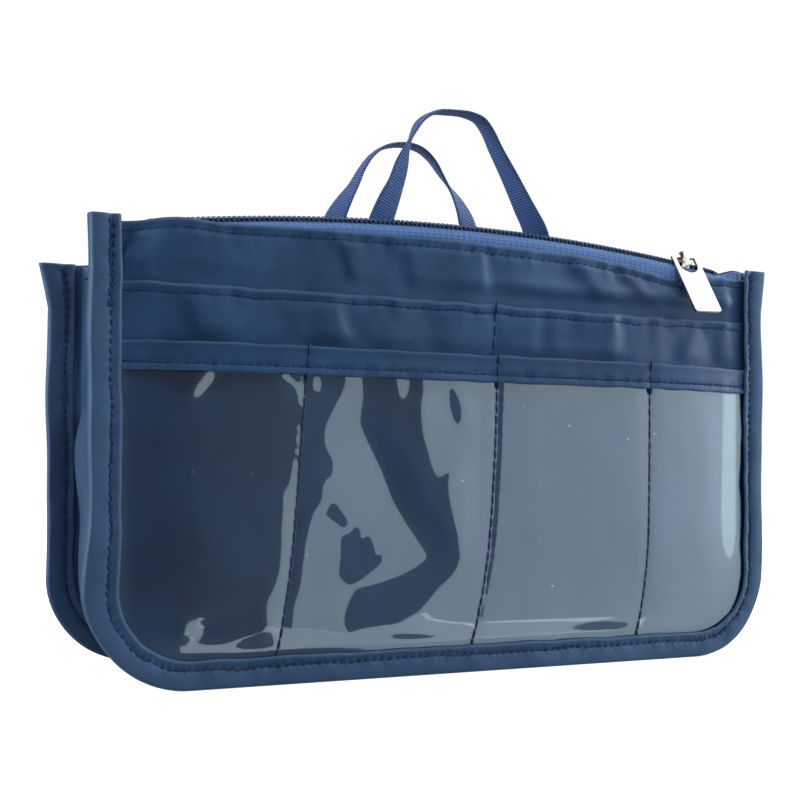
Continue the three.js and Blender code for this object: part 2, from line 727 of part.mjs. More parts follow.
const frontHandleY = rearTapeY + 2 * ease + clothThickness + webbingThickness / 2;
const frontRise = (handleTop - frontHandleHinge) / Math.cos(frontHandleLean) - webbingThickness / 2;
const rearFace = rearPanelFace(rearHandleSpread, rearHeight);
const rearHandleY = rearFace - ease - webbingThickness / 2;
const rearRise = (handleTop - rearHandleHinge) / Math.cos(rearHandleLean) - webbingThickness / 2;
const loops = [
  ['front', frontHandleSpread, frontRise, frontHandleLean, frontHandleY, frontHandleHinge],
  ['rear', rearHandleSpread, rearRise, rearHandleLean, rearHandleY, rearHandleHinge],
];
const endFaces = {
  front: () => frontHandleY,
  rear: (z) => rearPanelFace(rearHandleSpread, Math.min(z, rearHeight)) - ease - webbingThickness / 2,
};
loops.forEach(([name, spread, rise, lean, y, z]) => {
  addPiece(`${name}_handle`, 'webbing', handleLoop(spread, rise, lean, y, z));
  addPiece(`${name}_handle_end_left`, 'webbing', handleEnd(-1, spread, y, z, endFaces[name]));
  addPiece(`${name}_handle_end_right`, 'webbing', handleEnd(1, spread, y, z, endFaces[name]));
});

export default bag;
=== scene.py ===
"""Looks of a soft toiletry bag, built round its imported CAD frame.

The design code works in millimetres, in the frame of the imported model: X runs left to right
seen from the front, Y from the front to the rear and Z up. Meshes are made in metres.
"""

import sys

import logging
import math
from dataclasses import dataclass, field
from enum import Enum
from types import SimpleNamespace
from typing import Callable, Iterable, Sequence

import bpy
import numpy as np
from mathutils import Matrix, Vector


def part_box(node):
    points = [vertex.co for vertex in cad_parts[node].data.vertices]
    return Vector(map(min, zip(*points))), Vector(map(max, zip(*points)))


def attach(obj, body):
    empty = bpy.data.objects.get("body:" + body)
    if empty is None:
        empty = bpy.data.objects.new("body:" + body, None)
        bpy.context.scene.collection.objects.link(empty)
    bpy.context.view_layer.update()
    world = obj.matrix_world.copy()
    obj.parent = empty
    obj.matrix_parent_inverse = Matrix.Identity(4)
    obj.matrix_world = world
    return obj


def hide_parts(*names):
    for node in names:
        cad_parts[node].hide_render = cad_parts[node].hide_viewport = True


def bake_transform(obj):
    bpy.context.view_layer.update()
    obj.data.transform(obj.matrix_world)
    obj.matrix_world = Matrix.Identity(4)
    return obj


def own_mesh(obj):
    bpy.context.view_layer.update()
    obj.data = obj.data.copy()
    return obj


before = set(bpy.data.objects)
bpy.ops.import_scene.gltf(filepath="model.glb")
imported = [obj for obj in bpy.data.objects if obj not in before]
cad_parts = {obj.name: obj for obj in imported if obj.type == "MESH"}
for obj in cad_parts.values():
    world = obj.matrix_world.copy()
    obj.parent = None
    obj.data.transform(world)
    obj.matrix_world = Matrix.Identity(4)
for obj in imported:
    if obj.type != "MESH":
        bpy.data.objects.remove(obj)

log = logging.getLogger("toiletry_bag")
MM = 0.001
TURN = 2.0 * math.pi
STITCH_PITCH = 3.1
HEM_DROP = 3.0
Grid = np.ndarray
Curve = Callable[[Grid], Grid]
Surface = Callable[[Grid, Grid], Grid]
Thing, Material = bpy.types.Object, bpy.types.Material
Node, Tree, Output = bpy.types.Node, bpy.types.NodeTree, bpy.types.NodeSocket


class Slot(Enum):
    """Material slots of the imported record."""

    NYLON = "nylon"
    BINDING = "binding"
    FILM = "film"
    TAPE = "tape"
    TEETH = "teeth"
    METAL = "metal"
    WEBBING = "webbing"


class Body(Enum):
    """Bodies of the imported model."""

    BAG = "bag"
    SLIDER = "slider"
    PULL = "pull"
    FRONT_LOOP = "front_loop"
    REAR_LOOP = "rear_loop"


class Face(Enum):
    """The way that a seam's outer face looks."""

    FRONT = -1
    REAR = 1


# Small functions on numbers and grids


def clamp01(value: Grid) -> Grid:
    """Limit a value to the range from 0 to 1."""
    return np.clip(value, 0.0, 1.0)


def smooth(value: Grid) -> Grid:
    """Ease a value from 0 to 1 with flat ends."""
    held = clamp01(value)
    return held * held * (3.0 - 2.0 * held)


def swell(value: Grid) -> Grid:
    """Rise from 0 to 1 like a quarter of a sine wave."""
    return np.sin(0.5 * np.pi * clamp01(value))


def bump(value: Grid, width: float) -> Grid:
    """A bell of height 1 round 0."""
    return np.exp(-((value / width) ** 2))


def through(stops: Sequence[tuple[float, float]], x: Grid) -> Grid:
    """A smooth curve through some stops, each a place and a value, read at x."""
    places, values = np.array(stops).T
    slopes = np.gradient(values, places)
    k = np.clip(np.searchsorted(places, x) - 1, 0, len(places) - 2)
    gap = places[k + 1] - places[k]
    t = clamp01((x - places[k]) / gap)
    rest = 1.0 - t
    ends = values[k] * (1.0 + 2.0 * t) * rest**2 + values[k + 1] * t * t * (3.0 - 2.0 * t)
    return ends + gap * t * rest * (slopes[k] * rest - slopes[k + 1] * t)


@dataclass(frozen=True)
class Ripple:
    """Soft, seeded unevenness over a surface, as a sum of waves.

    Attributes:
        seed: seed of the waves.
        length: typical length of a wave, in mm.
        stretch: how many times longer the waves are along the second coordinate.
        waves: number of waves.
    """

    seed: int
    length: float
    stretch: float = 1.0
    waves: int = 9

    def at(self, a: Grid, b: Grid) -> Grid:
        """Height of the ripple, about -1 to 1, at places in mm."""
        rng = np.random.default_rng(self.seed)
        total = np.zeros(np.broadcast(a, b).shape)
        for _ in range(self.waves):
            turn = rng.uniform(0.0, TURN)
            size = TURN / (self.length * rng.uniform(0.6, 1.7))
            phase = rng.uniform(0.0, TURN)
            along = np.cos(turn) * a + np.sin(turn) * b / self.stretch
            total = total + np.sin(size * along + phase)
        return total / math.sqrt(self.waves)


@dataclass(frozen=True)
class Fold:
    """One soft fold in cloth: a ridge with a steep side and a gentle side.

    Attributes:
        x: place of its middle across the bag, in mm.
        z: height of its middle, in mm.
        turn: direction of the ridge, in degrees from the X axis.
        length: length of the ridge, in mm.
        width: width of its steep side, in mm.
        height: how far it stands off, in mm.
        ease: how many times wider its gentle side is.
    """

    x: float
    z: float
    turn: float
    length: float
    width: float
    height: float
    ease: float = 1.0

    def at(self, x: Grid, z: Grid) -> Grid:
        """How far the fold lifts the cloth at each point, in mm."""
        angle = math.radians(self.turn)
        along = (x - self.x) * math.cos(angle) + (z - self.z) * math.sin(angle)
        across = (z - self.z) * math.cos(angle) - (x - self.x) * math.sin(angle)
        side = np.where(across > 0.0, self.width, self.width * self.ease)
        return self.height * np.exp(-((across / side) ** 2) - (along / (0.5 * self.length)) ** 4)


def lifted(folds: Sequence[Fold], x: Grid, z: Grid) -> Grid:
    """Sum of some folds at each point, in mm."""
    return sum(one.at(x, z) for one in folds)


# Meshes


def spots(*parts: float | Grid) -> Grid:
    """Points from their coordinates, each a number or a grid."""
    return np.stack(np.broadcast_arrays(*parts), axis=-1)


def placed(name: str, data: object) -> Thing:
    """A new object in the scene, at the origin."""
    thing = bpy.data.objects.new(name, data)
    bpy.context.scene.collection.objects.link(thing)
    return thing


def unit(vectors: Grid) -> Grid:
    """Vectors at length 1."""
    return vectors / np.linalg.norm(vectors, axis=-1, keepdims=True)


def normals_of(points: Grid) -> Grid:
    """Unit normals of a grid of points, rows by columns by 3."""
    cross = np.cross(np.gradient(points, axis=1), np.gradient(points, axis=0))
    length = np.linalg.norm(cross, axis=2, keepdims=True)
    return cross / np.maximum(length, 1e-9)


def closed_sheet(name: str, near: Grid, far: Grid, uv: Grid) -> Thing:
    """A closed sheet between two grids of points that share their rows and columns.

    Args:
        name: name of the piece.
        near: one side, rows by columns by 3, in mm.
        far: the other side, in mm.
        uv: rows by columns by 2, in mm over the cloth.

    Returns:
        The new object, its faces pointing outwards.
    """
    rows, cols = near.shape[:2]
    points = np.concatenate([near.reshape(-1, 3), far.reshape(-1, 3)]) * MM
    number = np.arange(rows * cols).reshape(rows, cols)
    other = number + rows * cols
    faces = [
        (number[:-1, :-1], number[:-1, 1:], number[1:, 1:], number[1:, :-1]),
        (other[:-1, :-1], other[1:, :-1], other[1:, 1:], other[:-1, 1:]),
        (number[:-1, 0], number[1:, 0], other[1:, 0], other[:-1, 0]),
        (number[:-1, -1], other[:-1, -1], other[1:, -1], number[1:, -1]),
        (number[0, :-1], other[0, :-1], other[0, 1:], number[0, 1:]),
        (number[-1, :-1], number[-1, 1:], other[-1, 1:], other[-1, :-1]),
    ]
    corners = np.concatenate([spots(*face).reshape(-1, 4) for face in faces])
    a, b, c = (points[corners[:, k]] for k in range(3))
    d = points[corners[:, 3]]
    volume = np.einsum("ij,ij->i", a, np.cross(b, c)).sum()
    volume += np.einsum("ij,ij->i", a, np.cross(c, d)).sum()
    if volume < 0.0:
        corners = corners[:, ::-1]
    flat_uv = np.concatenate([uv.reshape(-1, 2)] * 2)
    return mesh_object(name, points, corners, flat_uv)


def mesh_object(name: str, points: Grid, corners: Grid, uv: Grid | None = None) -> Thing:
    """A mesh object of faces with the same number of corners, shaded smooth.

    Args:
        name: name of the piece.
        points: its vertices, in metres.
        corners: vertex numbers of each face.
        uv: a place on the cloth for each vertex, in mm.

    Returns:
        The new object at the origin.
    """
    mesh = bpy.data.meshes.new(name)
    sides = corners.shape[1]
    mesh.vertices.add(len(points))
    mesh.vertices.foreach_set("co", points.astype(np.float32).ravel())
    mesh.loops.add(corners.size)
    mesh.loops.foreach_set("vertex_index", corners.astype(np.int32).ravel())
    mesh.polygons.add(len(corners))
    mesh.polygons.foreach_set("loop_start", np.arange(0, corners.size, sides, dtype=np.int32))
    mesh.update(calc_edges=True)
    mesh.shade_smooth()
    if uv is not None:
        layer = mesh.uv_layers.new(name="UVMap")
        layer.data.foreach_set("uv", uv[corners.ravel()].astype(np.float32).ravel())
    mesh.validate()
    return placed(name, mesh)


def evaluated_copy(thing: Thing, name: str) -> Thing:
    """A plain, smooth object with another's modifiers applied, in place of the other."""
    graph = bpy.context.evaluated_depsgraph_get()
    mesh = bpy.data.meshes.new_from_object(thing.evaluated_get(graph))
    bpy.data.objects.remove(thing)
    mesh.name = name
    mesh.shade_smooth()
    return placed(name, mesh)


def softened_node(node: str, name: str, radius: float) -> Thing:
    """A copy of a rigid CAD node in its place, its edges rounded over a width in mm."""
    thing = placed(f"{name}_raw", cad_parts[node].data.copy())
    weld = thing.modifiers.new("weld", "WELD")
    weld.merge_threshold = 0.002 * MM
    rounding = thing.modifiers.new("round", "BEVEL")
    rounding.width = radius * MM
    rounding.segments = 3
    rounding.limit_method = "ANGLE"
    rounding.angle_limit = math.radians(35.0)
    rounding.use_clamp_overlap = True
    return evaluated_copy(thing, name)


# Shader nodes


@dataclass
class NodeBoard:
    """Short calls to place and join nodes in one tree."""

    tree: Tree
    column: int = 0

    def add(self, kind: str, inputs: dict | None = None, **settings: object) -> Node:
        """Place a node of one of Blender's types, with its inputs by name or number."""
        node = self.tree.nodes.new(kind)
        self.column += 1
        node.location = (180 * (self.column % 12), -260 * (self.column // 12))
        for key, value in settings.items():
            setattr(node, key, value)
        self.fill(node, inputs or {})
        return node

    def fill(self, node: Node, inputs: dict) -> None:
        """Set a node's inputs, or join outputs or nodes to them."""
        for key, value in inputs.items():
            if isinstance(value, (Node, Output)):
                self.link(value, node.inputs[key])
            else:
                node.inputs[key].default_value = value

    def math(self, operation: str, *values: object) -> Node:
        """A Math node on one to three values, outputs or nodes."""
        return self.add("ShaderNodeMath", dict(enumerate(values)), operation=operation)

    def link(self, source: Node | Output, target: Output) -> None:
        """Join an output, or a node's first output, to an input."""
        self.tree.links.new(source.outputs[0] if isinstance(source, Node) else source, target)


def shader_group(name: str, takes: dict[str, float | tuple], gives: Iterable[str]) -> tuple:
    """Start a shader node group with named inputs and outputs.

    Args:
        name: name of the group.
        takes: default of each input, where three numbers make a vector.
        gives: names of its outputs, each a value.

    Returns:
        The group, a board on it, its input node and its output node.
    """
    tree = bpy.data.node_groups.new(name, "ShaderNodeTree")
    for key, value in takes.items():
        kind = "NodeSocketVector" if isinstance(value, tuple) else "NodeSocketFloat"
        socket = tree.interface.new_socket(name=key, in_out="INPUT", socket_type=kind)
        socket.default_value = value
    for key in gives:
        tree.interface.new_socket(name=key, in_out="OUTPUT", socket_type="NodeSocketFloat")
    board = NodeBoard(tree)
    start = board.add("NodeGroupInput")
    end = board.add("NodeGroupOutput")
    return tree, board, start, end


class SharedEffects:
    """Shader node groups that more than one finish uses, each built once."""

    def __init__(self) -> None:
        """Build the groups."""
        self.weave = self._weave()
        self.crumple = self._crumple()
        self.wear_and_glint = self._wear_and_glint()
        self.specks = self._specks()

    def _weave(self) -> Tree:
        """Threads over and under each other; Slant turns a plain weave into a twill."""
        takes = {"Vector": (0.0, 0.0, 0.0), "Pitch": 0.5, "Slant": 0.0}
        tree, board, start, end = shader_group("cloth_weave", takes, ["Height", "Valley"])
        place = board.add("ShaderNodeSeparateXYZ", {0: start.outputs["Vector"]})
        rate = board.math("DIVIDE", math.pi, start.outputs["Pitch"])
        slid = board.math("MULTIPLY", place.outputs[1], start.outputs["Slant"])
        u = board.math("MULTIPLY", board.math("ADD", place, slid), rate)
        v = board.math("MULTIPLY", place.outputs[1], rate)
        warp = board.math("ABSOLUTE", board.math("SINE", u))
        weft = board.math("ABSOLUTE", board.math("SINE", v))
        swap = board.math("MULTIPLY", board.math("SINE", u), board.math("SINE", v))
        over = board.math("GREATER_THAN", swap, 0.0)
        pick = board.add("ShaderNodeMix", {0: over, 2: weft, 3: warp}, data_type="FLOAT")
        height = board.math("POWER", pick, 0.7)
        board.link(height, end.inputs["Height"])
        board.link(board.math("SUBTRACT", 1.0, height), end.inputs["Valley"])
        return tree

    def _crumple(self) -> Tree:
        """Soft creases and the uneven tone that goes with them."""
        takes = {"Vector": (0.0, 0.0, 0.0), "Scale": 30.0, "Sharpness": 0.5}
        tree, board, start, end = shader_group("cloth_crumple", takes, ["Height", "Tone"])
        place, scale = start.outputs["Vector"], start.outputs["Scale"]
        coarse = {"Vector": place, "Scale": scale, "Detail": 3.0, "Roughness": 0.45,
                  "Distortion": 0.4}
        low = board.add("ShaderNodeTexNoise", coarse)
        close = {"Vector": place, "Scale": board.math("MULTIPLY", scale, 3.7), "Detail": 2.0,
                 "Roughness": 0.5}
        fine = board.add("ShaderNodeTexNoise", close)
        ridge = board.math("ABSOLUTE", board.math("SUBTRACT", fine, 0.5))
        ridge = board.math("MULTIPLY", ridge, start.outputs["Sharpness"])
        board.link(board.math("ADD", low, ridge), end.inputs["Height"])
        tone = board.add("ShaderNodeMapRange", {0: low, 1: 0.35, 2: 0.65})
        board.link(tone, end.inputs["Tone"])
        return tree

    def _wear_and_glint(self) -> Tree:
        """Where edges stand proud: rubbed paler, and on the metal also a painted glint."""
        takes = {"Start": 0.52, "Reach": 0.12}
        tree, board, start, end = shader_group("edge_wear_and_glint", takes, ["Mask"])
        shape = board.add("ShaderNodeNewGeometry")
        over = board.math("SUBTRACT", shape.outputs["Pointiness"], start.outputs["Start"])
        share = board.math("DIVIDE", over, start.outputs["Reach"])
        clear = board.add("ShaderNodeClamp", {0: share})
        board.link(clear, end.inputs["Mask"])
        return tree

    def _specks(self) -> Tree:
        """A few specks of dust or tiny pits."""
        takes = {"Vector": (0.0, 0.0, 0.0), "Scale": 120.0, "Size": 0.05, "Share": 0.08}
        tree, board, start, end = shader_group("dust_specks", takes, ["Mask"])
        place = {"Vector": start.outputs["Vector"], "Scale": start.outputs["Scale"]}
        cells = board.add("ShaderNodeTexVoronoi", place)
        near = board.math("LESS_THAN", cells.outputs["Distance"], start.outputs["Size"])
        tint = board.add("ShaderNodeSeparateColor", {0: cells.outputs["Color"]})
        few = board.math("LESS_THAN", tint, start.outputs["Share"])
        board.link(board.math("MULTIPLY", near, few), end.inputs["Mask"])
        return tree


class Finish:
    """Base of every finish: makes its material once."""

    name = "finish"

    def __init__(self, effects: SharedEffects) -> None:
        """Make the material, with the shared node groups at hand."""
        self.effects = effects
        self.material = bpy.data.materials.new(self.name)
        self.material.use_nodes = True
        tree = self.material.node_tree
        tree.nodes.clear()
        self.board = NodeBoard(tree)
        self.shader = self.board.add("ShaderNodeBsdfPrincipled")
        out = self.board.add("ShaderNodeOutputMaterial")
        self.board.link(self.shader, out.inputs["Surface"])
        self.dress()

    def dress(self) -> None:
        """Fill the material's nodes; each finish has its own."""

    def group(self, tree: Tree, inputs: dict) -> Node:
        """Place a shared node group with values of its own."""
        return self.board.add("ShaderNodeGroup", inputs, node_tree=tree)

    def cloth_place(self) -> Node:
        """Place on the cloth, in mm, from the piece's own UV map."""
        return self.board.add("ShaderNodeUVMap", uv_map="UVMap")

    def object_place(self) -> Output:
        """Place in the row frame, in metres."""
        return self.board.add("ShaderNodeTexCoord").outputs["Object"]

    def blended(self, share: object, first: tuple | Output, second: tuple) -> Output:
        """A colour between two, by a share from 0 to 1."""
        start = (*first, 1.0) if isinstance(first, tuple) else first
        inputs = {0: share, 6: start, 7: (*second, 1.0)}
        return self.board.add("ShaderNodeMix", inputs, data_type="RGBA").outputs[2]

    def ranged(self, value: object, low: float, high: float) -> Node:
        """Spread a share from 0 to 1 over a range."""
        return self.board.add("ShaderNodeMapRange", {0: value, 3: low, 4: high})

    def relief(self, height: object, depth: float, onto: Node | None = None) -> Node:
        """A normal from a height of the given depth in mm, on top of another normal."""
        values = {"Height": height, "Distance": depth * MM, "Strength": 1.0}
        if onto is not None:
            values["Normal"] = onto
        return self.board.add("ShaderNodeBump", values)

    def crumple(self, scale: float) -> Node:
        """Soft creases of a fineness over the whole piece."""
        return self.group(self.effects.crumple, {"Vector": self.object_place(), "Scale": scale})

    def shade(self, values: dict[str, object]) -> None:
        """Set sockets of the shader, or join outputs to them."""
        self.board.fill(self.shader, values)


class SatinCloth(Finish):
    """Navy nylon with a satin face, a fine plain weave and soft creases."""

    name = "satin_nylon"
    dark = (0.0088, 0.0252, 0.0625)
    light = (0.0138, 0.038, 0.092)
    worn = (0.04, 0.09, 0.18)
    pitch = 0.34
    rough = (0.4, 0.52)
    crease = 0.45
    gloss = 0.23

    def dress(self) -> None:
        """Weave, creases, tone and rubbed edges."""
        place = self.cloth_place()
        weave = self.group(self.effects.weave, {"Vector": place, "Pitch": self.pitch})
        crumple = self.crumple(34.0)
        wear_and_glint = self.group(self.effects.wear_and_glint, {"Start": 0.53, "Reach": 0.16})
        cloth = self.blended(crumple.outputs["Tone"], self.dark, self.light)
        creased = self.relief(crumple.outputs["Height"], self.crease)
        self.shade({
            "Base Color": self.blended(wear_and_glint, cloth, self.worn),
            "Roughness": self.ranged(weave.outputs["Valley"], *self.rough),
            "Specular IOR Level": self.gloss,
            "Specular Tint": (0.44, 0.65, 1.0, 1.0),
            "Sheen Weight": 0.06,
            "Sheen Roughness": 0.4,
            "Sheen Tint": (0.45, 0.65, 1.0, 1.0),
            "Normal": self.relief(weave.outputs["Height"], 0.02, creased),
        })


class BindingCloth(SatinCloth):
    """The same nylon cut as a folded tape, a little duller."""

    name = "binding_nylon"
    dark = (0.0215, 0.0445, 0.089)
    light = (0.031, 0.061, 0.12)
    worn = (0.07, 0.125, 0.21)
    rough = (0.44, 0.56)
    crease = 0.3


class ZipTapeCloth(Finish):
    """Woven zip tape: a lighter, matt blue twill."""

    name = "zip_tape_twill"

    def dress(self) -> None:
        """Twill threads, the gaps between them painted dark as shade, and a little unevenness."""
        place = self.cloth_place()
        weave = self.group(self.effects.weave, {"Vector": place, "Pitch": 1.25, "Slant": 1.0})
        tone = self.crumple(90.0)
        # Painted shade: dark in the gaps between threads, lighter on their tops
        threads = self.blended(weave.outputs["Height"], (0.008, 0.028, 0.085), (0.065, 0.15, 0.36))
        faded = self.ranged(tone.outputs["Tone"], 0.0, 0.2)
        self.shade({
            "Base Color": self.blended(faded, threads, (0.022, 0.07, 0.17)),
            "Roughness": self.ranged(weave.outputs["Valley"], 0.6, 0.8),
            "Sheen Weight": 0.08,
            "Specular IOR Level": 0.3,
            "Normal": self.relief(weave.outputs["Height"], 0.13),
        })


class WebbingCloth(Finish):
    """Ribbed handle webbing, painted a brighter blue on the ribs and darker between them, as light on the
    ribs and shade in the grooves.
    """

    name = "ribbed_webbing"
    rib_pitch = 1.05

    def dress(self) -> None:
        """Ribs across the strap, with fine threads along it."""
        place = self.cloth_place()
        across = self.board.add("ShaderNodeSeparateXYZ", {0: place})
        wave = self.board.math("MULTIPLY", across, TURN / self.rib_pitch)
        turns = {0: self.board.math("COSINE", wave), 1: -1.0}
        rib = self.board.add("ShaderNodeMapRange", turns)
        weave = self.group(self.effects.weave, {"Vector": place, "Pitch": 0.33})
        ribbed = self.board.math("MULTIPLY", rib, self.ranged(weave.outputs["Height"], 0.75, 1.0))
        self.shade({
            # Painted light and shade: rib tops lighter, grooves between the ribs darker
            "Base Color": self.blended(ribbed, (0.012, 0.032, 0.1), (0.034, 0.088, 0.26)),
            "Roughness": self.ranged(ribbed, 0.75, 0.5),
            "Sheen Weight": 0.08,
            "Specular IOR Level": 0.3,
            "Normal": self.relief(weave.outputs["Height"], 0.05),
        })


class TonedFinish(Finish):
    """Base of a finish in one uneven tone; scale is the fineness of its unevenness."""

    scale = 400.0
    dark: tuple
    light: tuple
    rough: tuple
    gloss = 0.5

    def dress(self) -> None:
        """An uneven colour and roughness."""
        tone = self.crumple(self.scale)
        self.shade({
            "Base Color": self.blended(tone.outputs["Tone"], self.dark, self.light),
            "Roughness": self.ranged(tone.outputs["Tone"], *self.rough),
            "Specular IOR Level": self.gloss,
        })


class CoilPlastic(TonedFinish):
    """Moulded nylon of the zip's coil, dark and glossy."""

    name = "coil_nylon"
    dark = (0.016, 0.042, 0.11)
    light = (0.035, 0.085, 0.2)
    rough = (0.22, 0.32)


class DarkNavyStops(TonedFinish):
    """The zip's stops in a dark navy rather than the slider's pale gold, with a little uneven tone."""

    name = "dark_navy_stops"
    scale = 300.0
    dark = (0.01, 0.026, 0.07)
    light = (0.018, 0.045, 0.11)
    rough = (0.3, 0.42)


class SewingThread(TonedFinish):
    """Dark navy sewing thread with a twist."""

    name = "sewing_thread"
    scale = 900.0
    dark = (0.006, 0.017, 0.05)
    light = (0.014, 0.038, 0.1)
    rough = (0.5, 0.65)
    gloss = 0.12


class PaleGold(Finish):
    """Satin pale gold plating on the slider and pull."""

    name = "pale_gold_plating"

    def dress(self) -> None:
        """Fine handling marks, and proud edges a brighter gold: polished plating and a painted glint."""
        tone = self.crumple(160.0)
        wear_and_glint = self.group(self.effects.wear_and_glint, {"Start": 0.51, "Reach": 0.1})
        fine = {"Vector": self.object_place(), "Scale": 700.0, "Share": 0.12}
        pits = self.group(self.effects.specks, fine)
        plate = self.blended(tone.outputs["Tone"], (0.41, 0.391, 0.342), (0.46, 0.443, 0.397))
        self.shade({
            # Proud edges a brighter gold: partly polished plating, partly a painted glint
            "Base Color": self.blended(wear_and_glint, plate, (0.85, 0.78, 0.6)),
            "Metallic": 1.0,
            "Roughness": self.board.math("ADD", self.ranged(tone.outputs["Tone"], 0.24, 0.32),
                                         self.ranged(pits, 0.0, 0.15)),
            "Normal": self.relief(tone.outputs["Height"], 0.012),
        })


class ClearFilm(Finish):
    """Clear soft film of the front pocket, with a few specks of dust on it."""

    name = "clear_film"

    def dress(self) -> None:
        """Clear and glossy; its shadow is left to the cloth behind it."""
        specks = {"Vector": self.object_place(), "Scale": 150.0, "Share": 0.1}
        dust = self.group(self.effects.specks, specks)
        haze = self.crumple(40.0)
        light = self.board.add("ShaderNodeLightPath")
        self.shade({
            "Base Color": (0.62, 0.8, 0.88, 1.0),
            "Transmission Weight": 1.0,
            "IOR": 1.52,
            "Roughness": self.board.math("ADD", self.ranged(haze.outputs["Tone"], 0.015, 0.045),
                                         self.ranged(dust, 0.0, 0.6)),
            "Alpha": self.board.math("SUBTRACT", 1.0, light.outputs["Is Shadow Ray"]),
        })


class PaleFloor(Finish):
    """Plain pale floor with a painted glow for the camera, stronger away from the bag, which lightens the
    bag's shadow; it has no mirror image.
    """

    name = "pale_floor"

    def dress(self) -> None:
        """White and matt, with a painted glow that grows with distance, and open to mirrored light."""
        board = self.board
        far = board.add("ShaderNodeVectorMath", {0: self.object_place()}, operation="LENGTH")
        fade = board.add("ShaderNodeMapRange", {0: far.outputs["Value"], 1: 0.1, 2: 0.5, 3: 0.8, 4: 1.0})
        light = board.add("ShaderNodeLightPath")
        self.shade({
            "Base Color": (0.6, 0.6, 0.6, 1.0),
            "Roughness": 0.9,
            "Specular IOR Level": 0.0,
            "Emission Color": (1.0, 1.0, 1.0, 1.0),
            # Painted glow seen only by the camera: 0.8 near the bag, rising to 1.0 away from it
            "Emission Strength": board.math("MULTIPLY", fade, light.outputs["Is Camera Ray"]),
            "Alpha": board.math("SUBTRACT", 1.0, light.outputs["Is Glossy Ray"]),
        })


@dataclass
class Wardrobe:
    """Every finish of the bag, made once."""

    effects: SharedEffects = field(default_factory=SharedEffects)

    def __post_init__(self) -> None:
        """Make the finishes."""
        self.nylon = SatinCloth(self.effects).material
        self.binding = BindingCloth(self.effects).material
        self.tape = ZipTapeCloth(self.effects).material
        self.webbing = WebbingCloth(self.effects).material
        self.teeth = CoilPlastic(self.effects).material
        self.metal = PaleGold(self.effects).material
        self.dark_stops = DarkNavyStops(self.effects).material
        self.film = ClearFilm(self.effects).material
        self.thread = SewingThread(self.effects).material
        self.floor = PaleFloor(self.effects).material


def finish_piece(thing: Thing, material: Material,
                 nodes: Sequence[str] = (), body: Body | None = Body.BAG) -> Thing:
    """Give a piece its finish, hide the CAD nodes that it replaces and attach it to its body; with no body
    it is left unattached.
    """
    thing.data.materials.clear()
    thing.data.materials.append(material)
    if nodes:
        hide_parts(*nodes)
    if body is not None:
        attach(thing, body.value)
    log.info("%s: %d faces", thing.name, len(thing.data.polygons))
    return thing


# Things that repeat, made by Geometry Nodes


